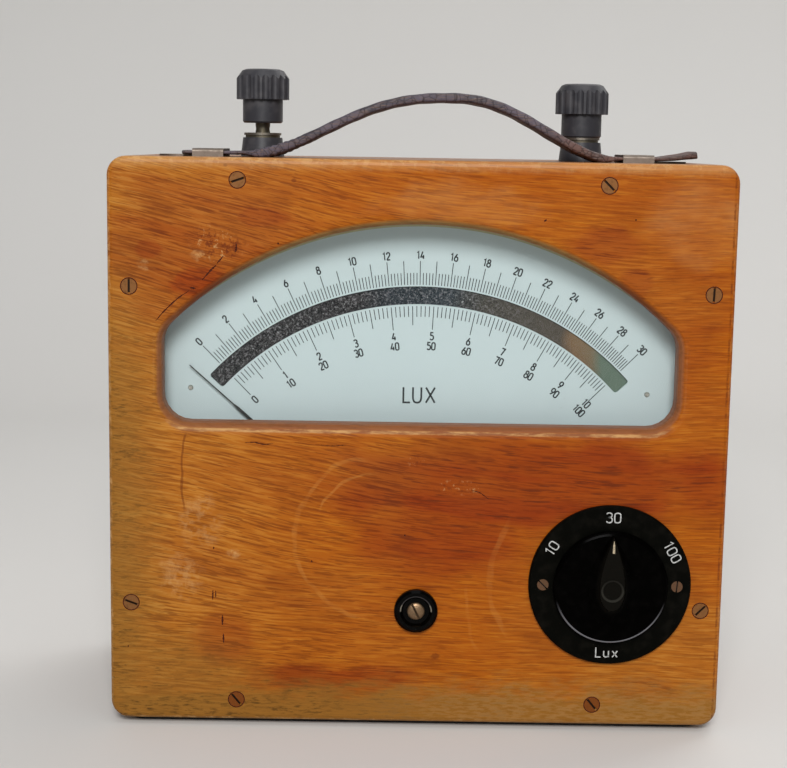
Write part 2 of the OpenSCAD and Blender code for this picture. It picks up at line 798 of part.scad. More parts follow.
module jewel_screws() {
    front_out = 1.1;
    color(brass) {
        difference() {
            slotted_head(0, pivot_h, arm_d0 - front_out, front_jewel_d1, jewel_r,
                arm_d0 - 2 * front_out, arm_d0 - front_out / 2);
            rod(0, pivot_h, front_jewel_d1 - jewel_hole_l, front_jewel_d1 + 1,
                jewel_hole_r, jewel_hole_r);
        }
        difference() {
            slotted_head(0, pivot_h, rear_jewel_d0, rear_bridge_d1 + 1.2, jewel_r,
                rear_bridge_d1 + 0.6, rear_bridge_d1 + 2);
            rod(0, pivot_h, rear_jewel_d0 - 1, rear_jewel_d0 + jewel_hole_l,
                jewel_hole_r, jewel_hole_r);
        }
    }
}

// Moving system, drawn with the pointer upright and turned to its rest place
module rest_turn() {
    translate([0, 0, plinth_t + pivot_h]) rotate([0, -swing_a, 0])
        translate([0, 0, -plinth_t - pivot_h]) children();
}
module loop_section(d0, d1, x, t, half_h) {
    difference() {
        translate([-x - t, y_face + d0 - t, plinth_t + pivot_h - half_h])
            cube([2 * (x + t), d1 - d0 + 2 * t, 2 * half_h]);
        translate([-x, y_face + d0, plinth_t + pivot_h - half_h - 1])
            cube([2 * x, d1 - d0, 2 * half_h + 2]);
    }
}
former_d0 = frame_d1 - former_gap;
former_d1 = shoe_d1 + former_gap;
module coil_former() {
    flange = 0.5;
    color([0.75, 0.75, 0.76]) rest_turn() difference() {
        loop_section(former_d0, former_d1, former_x, former_t, leg_h / 2 + flange);
        for (d = [former_d0 - former_t / 2, former_d1 + former_t / 2])
            rod(0, pivot_h, d - former_t, d + former_t, staff_r + seat, staff_r + seat);
    }
}
module coil_winding() {
    color(copper) rest_turn() difference() {
        loop_section(former_d0 - former_t, former_d1 + former_t, former_x + former_t + seat,
            winding_t - seat, leg_h / 2);
        for (d = [leg_d0, leg_d1])
            rod(0, pivot_h, d - 2 * winding_t, d + 2 * winding_t, collar_disc_r + fit,
                collar_disc_r + fit);
    }
}
collar_disc_r = 1.8;
collar_disc_t = 0.5;
tip_cone_l = 0.4;
tip_gap = 0.1;
// Staff turned from tip to root; dir is 1 for the front one and -1 for the rear one
module staff(tip, root, collar, dir) {
    color(steel) translate([0, y_face, plinth_t + pivot_h]) rotate([-90, 0, 0]) rotate_extrude()
        polygon([[0, tip], [pivot_tip_r * 0.4, tip], [pivot_tip_r, tip + dir * tip_l],
            [staff_r, tip + dir * (tip_l + tip_cone_l)], [staff_r, collar - dir * collar_disc_t],
            [collar_disc_r, collar - dir * collar_disc_t], [collar_disc_r, collar],
            [staff_r, collar], [staff_r, root], [0, root]]);
}
module pivot_staffs() {
    staff(front_jewel_d1 - jewel_hole_l + tip_gap, former_d0, former_d0 - former_t, 1);
    staff(rear_jewel_d0 + jewel_hole_l - tip_gap, former_d1, former_d1 + former_t, -1);
}
spring_t = 0.18;
module spiral(start) {
    n = spring_turns * 30;
    pitch = (spring_r1 - spring_r0) / spring_turns;
    inner = [for (i = [0:n]) polar(spring_r0 + pitch * i / 30, start + 12 * i)];
    outer = [for (i = [n:-1:0]) polar(spring_r0 + pitch * i / 30 + spring_t, start + 12 * i)];
    polygon(concat(inner, outer));
}
rear_spring_d0 = rear_bridge_d0 - 0.2 - spring_w;
module hairsprings() {
    color([0.35, 0.4, 0.55]) {
        for (d = [spring_d0, rear_spring_d0]) pivot_slab(d, d + spring_w) {
            spiral(0);
            difference() {
                circle(spring_r0 + spring_t);
                circle(staff_r + seat);
            }
        }
    }
}
pointer_hub_r = 2.4;
pointer_half_w = 0.45;
knife_in = 8.3;
pointer_knife_r = mirror_r0 - knife_in;
module pointer() {
    color([0.05, 0.05, 0.05]) rest_turn() pivot_slab(pointer_d0, pointer_d0 + pointer_t)
        difference() {
            union() {
                circle(pointer_hub_r);
                polygon([[-pointer_half_w * 1.4, 0], [pointer_half_w * 1.4, 0],
                    [pointer_half_w, pointer_knife_r], [pointer_half_w / 2.4, pointer_knife_r + 2],
                    [pointer_half_w / 3, pointer_r], [-pointer_half_w / 3, pointer_r],
                    [-pointer_half_w / 2.4, pointer_knife_r + 2],
                    [-pointer_half_w, pointer_knife_r]]);
            }
            circle(staff_r + seat);
        }
}
cross_t = 0.5;
cross_d0 = pointer_d0 + pointer_t;
cross_half_w = 0.5;
balance_tail_l = 12;
cross_l = 10;
weight_t = 1;
module balance_arms() {
    places = [[0, -balance_tail_l + 1], [-cross_l + 1, 0], [cross_l - 1, 0]];
    color(brass) rest_turn() pivot_slab(cross_d0, cross_d0 + cross_t) difference() {
        union() {
            circle(pointer_hub_r);
            translate([-cross_half_w, -balance_tail_l]) square([2 * cross_half_w, balance_tail_l]);
            translate([-cross_l, -cross_half_w]) square([2 * cross_l, 2 * cross_half_w]);
        }
        circle(staff_r + seat);
    }
    color(copper) rest_turn() for (p = places)
        pivot_slab(cross_d0 + cross_t, cross_d0 + cross_t + weight_t)
            translate(p) circle(p[1] < 0 ? 1.4 : 0.8);
}
stop_r = 29;
stop_pin_r = 0.6;
stop_gap = 0.25;
stop_a = swing_a + 1 + asin((stop_pin_r + pointer_half_w * 1.4 + stop_gap) / stop_r);
module pointer_stops() {
    color(steel) for (s = [-1, 1])
        rod(polar(stop_r, s * stop_a)[0], pivot_h + polar(stop_r, s * stop_a)[1],
            pointer_d0 - 0.7, frame_d1, stop_pin_r, stop_pin_r);
}

// Zero corrector
zero_h = pivot_h - zero_drop;
zero_bush_r = 4.9;
zero_shaft_r = 2;
module zero_adjust_arm() {
    ring_r = 4;
    prong = 1.2;
    slot_half = zero_pin_r + 0.08;
    fork_top = zero_drop + zero_ecc - 3;
    fork_end = zero_drop + zero_ecc + 1.6;
    tab_half = 1.5;
    color(brass) difference() {
        union() {
            pivot_slab(arm_d0, arm_d1) {
                circle(ring_r);
                translate([-slot_half - prong, -fork_end]) square([2 * (slot_half + prong), fork_end]);
                translate([-tab_half, 0]) square([2 * tab_half, tab_r + tab_t]);
            }
            pivot_slab(arm_d0, spring_d1) translate([-tab_half, tab_r]) square([2 * tab_half, tab_t]);
        }
        rod(0, pivot_h, arm_d0 - 1, arm_d1 + 1, jewel_r + fit, jewel_r + fit);
        pivot_slab(arm_d0 - 1, arm_d1 + 1) translate([-slot_half, -fork_end - 1])
            square([2 * slot_half, fork_end + 1 - fork_top]);
    }
}
bezel_out = 2.4;
module zero_bezel() {
    lip = 0.8;
    dish_r = 5.1;
    color(bakelite) difference() {
        translate([0, y_face, plinth_t + zero_h]) rotate([90, 0, 0]) rotate_extrude()
            polygon([[0, -panel_t - nut_t], [zero_bush_r, -panel_t - nut_t], [zero_bush_r, 0],
                [zero_bezel_r, 0], [zero_bezel_r, bezel_out - lip], [zero_bezel_r - lip, bezel_out],
                [dish_r, bezel_out], [dish_r - lip, bezel_out - 1.2], [0, bezel_out - 1.2]]);
        rod(0, zero_h, -bezel_out - 1, 1, zero_head_r + fit, zero_head_r + fit);
        rod(0, zero_h, 0, panel_t + nut_t + 1, zero_shaft_r + fit, zero_shaft_r + fit);
    }
}
panel_nut_r = 8;
module panel_nuts() {
    color(brass) {
        slab(panel_t, panel_t + nut_t) translate([0, zero_h]) difference() {
            circle(panel_nut_r, $fn = 6);
            circle(zero_bush_r + fit);
        }
        knob_slab(panel_t + switch_base_t, panel_t + switch_base_t + nut_t) difference() {
            circle(panel_nut_r, $fn = 6);
            circle(bush_r + fit);
        }
    }
}
module zero_screw() {
    dome = 1;
    head_front = bezel_out;
    color([0.8, 0.74, 0.62]) difference() {
        union() {
            translate([0, y_face, plinth_t + zero_h]) rotate([90, 0, 0]) rotate_extrude()
                polygon(concat([[0, -panel_t - nut_t - 0.05], [zero_shaft_r, -panel_t - nut_t - 0.05],
                    [zero_shaft_r, -0.9], [zero_head_r, -0.9]],
                    [for (a = [0:15:90]) [zero_head_r * cos(a), head_front - dome + dome * sin(a)]]));
            rod(0, zero_h - zero_ecc, panel_t + nut_t, arm_d1 + 0.2, zero_pin_r, zero_pin_r);
        }
        translate([0, y_face - head_front - 1, plinth_t + zero_h]) rotate([0, -27, 0])
            translate([-slot_w / 2, 0, -2 * zero_head_r])
                cube([slot_w, 1 + dome + 0.3, 4 * zero_head_r]);
    }
}

// Range switch
bush_r = 4.75;
bush_flange_r = 6.4;
bush_flange_t = 1.7;
dial_hole_r = 7;
dial_screw_head_r = 1.85;
dial_screw_shank_r = 0.9;
dial_screw_bite = 6;
switch_base_t = 1.5;
bush_end = panel_t + switch_base_t + nut_t + 0.3;
detent_d0 = bush_end + 0.5;
detent_t = 2;
wafer_gap = 10;
wafer_d0 = detent_d0 + wafer_gap;
wafer_t = 1.6;
wafer_r = 16;
pillar_r = 2;
pillar_x = wafer_r - pillar_r - 0.6;
module knob_slab(d0, d1) { slab(d0, d1) translate([knob_x, knob_h]) children(); }
module range_dial() {
    dial_ease = 0.5;
    color([0.09, 0.09, 0.09]) difference() {
        union() {
            rod(knob_x, knob_h, -dial_t, -dial_t + dial_ease, dial_r - dial_ease, dial_r);
            rod(knob_x, knob_h, -dial_t + dial_ease, 0, dial_r, dial_r);
        }
        rod(knob_x, knob_h, -dial_t - 1, 1, dial_hole_r, dial_hole_r);
        for (s = [-1, 1]) {
            rod(knob_x + s * dial_screw_r, knob_h, -dial_t - 1, 1,
                dial_screw_shank_r + fit, dial_screw_shank_r + fit);
            rod(knob_x + s * dial_screw_r, knob_h, -dial_t - fit,
                -dial_t + dial_screw_head_r - dial_screw_shank_r,
                dial_screw_head_r + fit, dial_screw_shank_r + fit);
        }
    }
}
module range_dial_screws() {
    color(copper) for (s = [-1, 1]) difference() {
        union() {
            rod(knob_x + s * dial_screw_r, knob_h, -dial_t,
                -dial_t + dial_screw_head_r - dial_screw_shank_r,
                dial_screw_head_r, dial_screw_shank_r);
            rod(knob_x + s * dial_screw_r, knob_h, -dial_t, dial_screw_bite - 0.5,
                dial_screw_shank_r, dial_screw_shank_r);
        }
        translate([knob_x + s * dial_screw_r, y_face - dial_t, plinth_t + knob_h])
            rotate([0, s < 0 ? 45 : 95, 0])
                cube([2 * dial_screw_head_r, 0.9, 0.45], center = true);
    }
}
skirt_d0 = -dial_t - 0.4;
skirt_d1 = skirt_d0 - skirt_t;
cap_recess = 1;
knob_cap_r = 3.7;
// Outline of the pointer bar: half width, reach of the tip and reach of the round tail
function teardrop(half_w, tip, tail) = let (
        flank = [for (t = [0.12:0.11:0.9]) [half_w * sin(90 * t), tip * (1 - t)]],
        round_end = [for (a = [0:10:90]) [half_w * cos(a), -tail * sin(a)]],
        right = concat(flank, round_end))
    concat([[0, tip]], right, [for (i = [len(right) - 2:-1:0]) [-right[i][0], right[i][1]]]);
// The bar's flanks sweep out to its foot on the skirt, and its top edge is eased
bar_steps = 7;
bar_half_w = 4.05;
bar_foot_half_w = 8.4;
bar_tail = 6.8;
bar_foot_tail = 14.5;
bar_ease = 0.3;
bar_foot_z = -skirt_d1 - 0.2;
function bar_ring(z, flare, ease) =
    [for (p = teardrop(bar_half_w + (bar_foot_half_w - bar_half_w) * flare - ease,
            knob_r - 0.9 - ease, bar_tail + (bar_foot_tail - bar_tail) * flare - ease))
        [knob_x + p[0], y_face - z, plinth_t + knob_h + p[1]]];
module pointer_bar() {
    loft(concat(
        [bar_ring(knob_top, 0, bar_ease), bar_ring(knob_top - bar_ease / 3, 0, bar_ease / 3)],
        [for (k = [bar_steps:-1:0]) let (t = k / bar_steps)
            bar_ring(bar_foot_z + (knob_top - bar_ease - bar_foot_z) * t, pow(1 - t, 2.4), 0)],
        [bar_ring(bar_foot_z - 1, 1, 0)]));
}
module range_knob() {
    skirt_edge = 0.8;
    color([0.07, 0.05, 0.05]) difference() {
        union() {
            translate([knob_x, y_face, plinth_t + knob_h]) rotate([90, 0, 0]) rotate_extrude()
                polygon([[0, -skirt_d0], [knob_r - skirt_edge, -skirt_d0],
                    [knob_r, -skirt_d0 + skirt_edge], [knob_r, -skirt_d1 - 1.3],
                    [knob_r - 0.25, -skirt_d1 - 0.65], [knob_r - 0.65, -skirt_d1 - 0.25],
                    [knob_r - 1.3, -skirt_d1], [0, -skirt_d1]]);
            pointer_bar();
        }
        rod(knob_x, knob_h, -knob_top - 1, -knob_top + cap_recess, knob_cap_r + fit,
            knob_cap_r + fit);
        rod(knob_x, knob_h, -knob_top + cap_recess + 1, 1, shaft_r + seat, shaft_r + seat);
    }
}
module knob_cap() {
    color([0.12, 0.1, 0.09]) translate([knob_x, y_face - knob_top, plinth_t + knob_h])
        rotate([90, 0, 0]) rotate_extrude()
            polygon([[0, -cap_recess], [knob_cap_r, -cap_recess], [knob_cap_r, 0.25],
                [knob_cap_r - 0.5, 0.25], [knob_cap_r - 0.9, -0.15], [0, -0.15]]);
}
module switch_shaft() {
    color(steel) rod(knob_x, knob_h, -knob_top + cap_recess + 1.1, wafer_d0 + wafer_t + 3,
        shaft_r, shaft_r);
}
module switch_bush() {
    color(brass) difference() {
        union() {
            rod(knob_x, knob_h, -bush_flange_t, 0, bush_flange_r, bush_flange_r);
            rod(knob_x, knob_h, 0, bush_end, bush_r, bush_r);
        }
        rod(knob_x, knob_h, -bush_flange_t - 1, bush_end + 1, shaft_r + fit, shaft_r + fit);
    }
}
module switch_base() {
    color(paxolin) {
        knob_slab(panel_t, panel_t + switch_base_t) difference() {
            circle(wafer_r);
            circle(bush_r + fit);
        }
        for (s = [-1, 1])
            rod(knob_x + s * pillar_x, knob_h, panel_t + switch_base_t - seat, wafer_d0,
                pillar_r, pillar_r);
    }
}
disc_r = 9;
ball_r = 1.5;
module detent_disc() {
    color(steel) knob_slab(detent_d0, detent_d0 + detent_t) difference() {
        circle(disc_r);
        circle(shaft_r + seat);
        for (k = [-1:1]) translate(polar(disc_r + 0.6, 180 + k * detent_a)) circle(ball_r);
    }
}
module detent_spring() {
    leaf_t = 0.5;
    ball_at = disc_r + 0.6;
    post_half = 1.5;
    leaf_half = 6;
    color(steel) {
        translate([knob_x, y_face + detent_d0 + detent_t / 2, plinth_t + knob_h - ball_at])
            sphere(ball_r - 0.15);
        knob_slab(detent_d0, detent_d0 + detent_t)
            translate([-leaf_half, -ball_at - ball_r - leaf_t + 0.1]) square([leaf_half * 2, leaf_t]);
        knob_slab(panel_t + switch_base_t, detent_d0 + detent_t)
            translate([-leaf_half - 2 * post_half, -ball_at - ball_r - leaf_t - post_half + 0.1])
                square([2 * post_half, 2 * post_half]);
    }
}
module switch_wafer() {
    color(paxolin) knob_slab(wafer_d0, wafer_d0 + wafer_t) difference() {
        circle(wafer_r);
        circle(shaft_r + 0.6);
    }
}
contact_in = 4;
contact_r = wafer_r - contact_in;
contact_head = 1.2;
contact_a = 180;
module switch_contacts() {
    lug_l = 4;
    color(brass) {
        for (k = [-1:1]) translate([0, 0, 0]) {
            p = polar(contact_r, contact_a + k * detent_a);
            rod(knob_x + p[0], knob_h + p[1], wafer_d0 - contact_head, wafer_d0, 1.6, 1.6);
            rod(knob_x + p[0], knob_h + p[1], wafer_d0 + wafer_t, wafer_d0 + wafer_t + lug_l,
                0.8, 0.6);
        }
    }
}
module switch_wiper() {
    wiper_t = 0.6;
    hub_r = 5;
    color(brass) knob_slab(wafer_d0 - contact_head - 0.3 - wiper_t, wafer_d0 - contact_head - 0.3)
        difference() {
            union() {
                circle(hub_r);
                translate([-1.4, -contact_r - 1.4]) square([2.8, contact_r + 1.4]);
            }
            circle(shaft_r + seat);
        }
}

// Wire-wound spools behind the wafer, one for each range
module range_resistors() {
    spool_r = 4.4;
    spool_h = 11;
    spool_wall = 1;
    color([0.5, 0.42, 0.25]) for (k = [-1:1]) {
        p = polar(contact_r - 0.5, k * detent_a);
        translate([knob_x + p[0], y_face + wafer_d0 + wafer_t, plinth_t + knob_h + p[1]])
            rotate([-90, 0, 0]) rotate_extrude()
                polygon([[0, 0], [spool_r, 0], [spool_r, spool_wall],
                    [spool_r - 0.7, spool_wall], [spool_r - 0.7, spool_h - spool_wall],
                    [spool_r, spool_h - spool_wall], [spool_r, spool_h], [0, spool_h]]);
    }
}

// Terminals
spigot_r = 5;
spigot_l = 8;
flange_r = 5.9;
flange_t = 0.8;
base_top_r = base_r - 0.75;
cap_h = cap_rib_h + collar_h;
cap_seat = base_h + flange_t + washer_t;
stud_short = 4;
stud_below = 3;
stud_top = cap_seat + cap_h - stud_short;
insert_r = 4.4;
insert_h = 9;
nut_r = 5;
term_nut_t = 3.5;
module at_terminal(x) { translate([x, 0, top_z]) children(); }
module terminal_bases() {
    color(bakelite) for (x = [-term_x, term_x]) at_terminal(x) difference() {
        union() {
            cylinder(h = base_h, r1 = base_r, r2 = base_top_r);
            translate([0, 0, -spigot_l]) cylinder(h = spigot_l + seat, r = spigot_r);
        }
        translate([0, 0, -spigot_l - 1]) cylinder(h = spigot_l + base_h + 2, r = stud_r + fit);
    }
}
module terminal_studs() {
    color(brass) for (x = [-term_x, term_x]) at_terminal(x) difference() {
        union() {
            translate([0, 0, -wall_t - term_nut_t - stud_below])
                cylinder(h = wall_t + term_nut_t + stud_below + stud_top, r = stud_r);
            translate([0, 0, base_h]) cylinder(h = flange_t, r = flange_r);
        }
        translate([-stud_r - 1, 0, cap_seat + wire_hole_r + 0.3]) rotate([0, 90, 0])
            cylinder(h = 2 * stud_r + 2, r = wire_hole_r);
    }
}
module terminal_washers() {
    color(steel) for (x = [-term_x, term_x]) at_terminal(x) {
        translate([0, 0, base_h + flange_t]) difference() {
            cylinder(h = washer_t, r = washer_r);
            translate([0, 0, -1]) cylinder(h = washer_t + 2, r = stud_r + fit);
        }
        translate([0, 0, -wall_t - 1]) difference() {
            cylinder(h = 1, r = washer_r);
            translate([0, 0, -1]) cylinder(h = 3, r = stud_r + fit);
        }
    }
}
module terminal_nuts() {
    color(brass) for (x = [-term_x, term_x]) at_terminal(x)
        translate([0, 0, -wall_t - 1 - term_nut_t]) difference() {
            cylinder(h = term_nut_t, r = nut_r, $fn = 6);
            translate([0, 0, -1]) cylinder(h = term_nut_t + 2, r = stud_r + fit);
        }
}
module terminal_cap(x, lift) {
    groove_r = 1.3;
    groove_at = cap_r + 0.55;
    wall = 0.5;
    color([0.22, 0.22, 0.24]) at_terminal(x) translate([0, 0, cap_seat + lift]) difference() {
        rotate_extrude() polygon([[0, 0], [collar_r - wall, 0], [collar_r, wall],
            [collar_r, collar_h], [cap_r, collar_h], [cap_r, cap_h - cap_chamfer],
            [cap_r - 0.6 * cap_chamfer, cap_h - wall], [cap_r - cap_chamfer, cap_h], [0, cap_h]]);
        for (k = [0:cap_grooves - 1]) rotate([0, 0, 360 * k / cap_grooves])
            translate([groove_at, 0, collar_h - 1])
                cylinder(h = cap_rib_h + 2, r = groove_r, $fn = 24);
        translate([0, 0, -1]) cylinder(h = insert_h + 1, r = insert_r + seat);
        cylinder(h = cap_h - 3, r = stud_r + 0.3);
    }
}
module cap_insert(x, lift) {
    color(brass) at_terminal(x) translate([0, 0, cap_seat + lift]) difference() {
        cylinder(h = insert_h, r = insert_r);
        translate([0, 0, -1]) cylinder(h = insert_h + 2, r = stud_r + fit);
    }
}
module terminal_cap_left() { terminal_cap(-term_x, left_lift); }
module terminal_cap_right() { terminal_cap(term_x, 0); }
module cap_insert_left() { cap_insert(-term_x, left_lift); }
module cap_insert_right() { cap_insert(term_x, 0); }

// Carrying strap: a thin end in the left bracket, a bow, and a tail past the right one
strap_mid_y = y_face + strap_y;
strap_gap = 0.1;
strap_side_gap = 0.4;
strap_low = bracket_t + strap_gap;
strap_high = strap_low + strap_end_t;
strap_left_past = 3.6;
bow_past = 1;
tail_past = 0.5;
strap_left_end = -bracket_x - bracket_w / 2 - strap_left_past;
bow_left = -bracket_x + bracket_w / 2 + bow_past;
bow_right = bracket_x - bracket_w / 2 - bow_past;
tail_x0 = bracket_x + bracket_w / 2 + tail_past;
tail_l = 15.5;
tail_top_rise = 1.7;
tail_end_t = 2.3;
tail_lift_from = 0.65;
bow_steps = 36;
taper_l = 10;
// Top of the bow at x: two half waves that meet at its highest point
function bow_top(x) = let (
        reach = x < bow_x ? bow_left - bow_x : bow_right - bow_x,
        t = (x - bow_x) / reach)
    strap_high + (bow_h - strap_high) * (1 + cos(180 * t)) / 2;
function bow_slope(x) = let (
        reach = x < bow_x ? bow_left - bow_x : bow_right - bow_x,
        t = (x - bow_x) / reach)
    -(bow_h - strap_high) / 2 * sin(180 * t) * PI / reach;
function bow_thick(x) = let (
        near = min(x - bow_left, bow_right - x) / taper_l,
        t = max(0, min(1, near)))
    strap_end_t + (strap_t - strap_end_t) * t * t * (3 - 2 * t);
function bow_under(x) = let (
        s = bow_slope(x),
        l = sqrt(1 + s * s))
    [x + bow_thick(x) * s / l, bow_top(x) - bow_thick(x) / l];
module carrying_strap() {
    xs = [for (i = [0:bow_steps]) bow_left + (bow_right - bow_left) * i / bow_steps];
    over = [for (x = xs) [x, bow_top(x)]];
    under = [for (i = [bow_steps:-1:0]) bow_under(xs[i])];
    tail_x1 = tail_x0 + tail_l;
    tail_top = strap_high + tail_top_rise;
    color(leather) translate([0, strap_mid_y + strap_w / 2, top_z]) rotate([90, 0, 0])
        linear_extrude(strap_w)
            polygon(concat([[strap_left_end, strap_low], [strap_left_end, strap_high]],
                over,
                [[tail_x0, strap_high], [tail_x1 - 2, tail_top], [tail_x1, tail_top - 0.1],
                    [tail_x1 + 0.3, tail_top - tail_end_t],
                    [tail_x0 + tail_l * tail_lift_from, strap_low], [tail_x0, strap_low]],
                under));
}
tongue_w = 12;
tongue_l = 12;
tongue_screw_x = bracket_x + bracket_w / 2 + tongue_l - tongue_w / 2;
bracket_h = strap_high + strap_gap + bracket_t;
bracket_half_y = strap_w / 2 + strap_side_gap + bracket_t;
module strap_brackets() {
    bend_r = 1;
    color([0.7, 0.68, 0.64]) for (s = [0, 1]) mirror([s, 0, 0])
        translate([bracket_x, strap_mid_y, top_z]) difference() {
            union() {
                translate([-bracket_w / 2, 0, 0]) rotate([90, 0, 90]) linear_extrude(bracket_w)
                    difference() {
                        union() {
                            translate([-bracket_half_y, 0])
                                square([2 * bracket_half_y, bracket_h - bend_r]);
                            translate([-bracket_half_y + bend_r, 0])
                                square([2 * bracket_half_y - 2 * bend_r, bracket_h]);
                            for (y = [-1, 1])
                                translate([y * (bracket_half_y - bend_r), bracket_h - bend_r])
                                    circle(bend_r);
                        }
                        translate([-bracket_half_y + bracket_t, bracket_t])
                            square([2 * (bracket_half_y - bracket_t), bracket_h - 2 * bracket_t]);
                    }
                translate([0, -tongue_w / 2, 0])
                    cube([bracket_w / 2 + tongue_l - tongue_w / 2, tongue_w, bracket_t]);
                translate([bracket_w / 2 + tongue_l - tongue_w / 2, 0, 0])
                    cylinder(h = bracket_t, r = tongue_w / 2);
            }
            translate([tongue_screw_x - bracket_x, 0, bracket_t]) small_screw(fit);
        }
}

front_panel();
case_board(0, wood_dark);  // case_top
case_board(2, wood_dark);  // case_bottom
case_board(3, wood_dark);  // case_side_left
case_board(1, wood_dark);  // case_side_right
back_panel();
case_screws();
plinth();
window_glass();
glass_clips();
small_wood_screws();
scale_plate();
scale_mirror();
scale_carrier();
scale_screws();
movement_frame();
movement_posts();
movement_screws();
magnet();
pole_shoes();
core();
core_brackets();
front_bridge();
rear_bridge();
bridge_screws();
jewel_screws();
coil_former();
coil_winding();
pivot_staffs();
hairsprings();
pointer();
balance_arms();
pointer_stops();
zero_adjust_arm();
zero_bezel();
zero_screw();
panel_nuts();
range_dial();
range_dial_screws();
range_knob();
knob_cap();
switch_shaft();
switch_bush();
switch_base();
detent_disc();
detent_spring();
switch_wafer();
switch_contacts();
switch_wiper();
range_resistors();
terminal_bases();
terminal_studs();
terminal_washers();
terminal_nuts();
terminal_cap_left();
terminal_cap_right();
cap_insert_left();
cap_insert_right();
carrying_strap();
strap_brackets();
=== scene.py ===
"""Looks of a lux meter in a varnished wooden case, laid over its packed CAD model."""
import json
import math

import bpy
import numpy as np
from bpy.props import FloatProperty, FloatVectorProperty, PointerProperty
from bpy.types import NodeSocket, Operator, Panel, PropertyGroup
from mathutils import Matrix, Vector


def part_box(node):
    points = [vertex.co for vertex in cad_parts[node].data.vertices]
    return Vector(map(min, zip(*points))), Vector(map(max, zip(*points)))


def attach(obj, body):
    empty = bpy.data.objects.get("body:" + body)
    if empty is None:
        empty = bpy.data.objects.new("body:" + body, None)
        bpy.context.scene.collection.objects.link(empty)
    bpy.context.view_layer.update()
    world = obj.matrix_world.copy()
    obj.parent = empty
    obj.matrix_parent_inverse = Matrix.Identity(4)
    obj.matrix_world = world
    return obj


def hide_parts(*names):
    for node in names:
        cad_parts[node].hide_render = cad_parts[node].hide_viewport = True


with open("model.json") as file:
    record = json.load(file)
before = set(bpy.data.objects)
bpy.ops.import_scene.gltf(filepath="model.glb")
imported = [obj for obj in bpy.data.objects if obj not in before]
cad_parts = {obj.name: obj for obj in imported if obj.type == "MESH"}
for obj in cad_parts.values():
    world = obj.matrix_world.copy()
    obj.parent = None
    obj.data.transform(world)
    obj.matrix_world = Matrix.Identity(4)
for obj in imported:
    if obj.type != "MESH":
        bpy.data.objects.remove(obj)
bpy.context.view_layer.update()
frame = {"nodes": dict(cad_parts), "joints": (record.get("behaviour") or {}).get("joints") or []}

bl_info = {
    "name": "Lux meter",
    "version": (1, 0, 0),
    "blender": (4, 5, 0),
    "location": "3D View > Sidebar > Lux meter",
    "description": "Dresses the packed lux meter: wood, dial, knobs, terminals and strap",
    "category": "Object",
}

JOINTS = {joint["name"]: joint for joint in frame["joints"]}
PIVOT, KNOB, ZERO = (np.array(JOINTS[name]["pos_m"])
                     for name in ("pointer_swing", "range_turn", "zero_turn"))
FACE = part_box("front_panel")[0][1]
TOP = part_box("case_top")[1][2]
MM = 0.001
INK_LIFT = 0.02 * MM
INK_THICK = 0.03 * MM
SENSOR_MM = 36.0
FOCAL_PIXELS, PICTURE_PIXELS = 1630.0, 787.0
CAMERA_PLACE = (-0.00959, -0.56396, 0.19120)


def colour_value(name, default, description):
    """A colour setting."""
    return FloatVectorProperty(name=name, description=description, default=default,
                               subtype="COLOR", min=0.0, max=1.0)


def length_value(name, default, description):
    """A length setting in metres."""
    return FloatProperty(name=name, description=description, default=default, unit="LENGTH",
                         min=0.0, precision=5)


def angle_value(name, degrees, description):
    """An angle setting in radians, given in degrees."""
    return FloatProperty(name=name, description=description, default=math.radians(degrees),
                         subtype="ANGLE")


# Materials

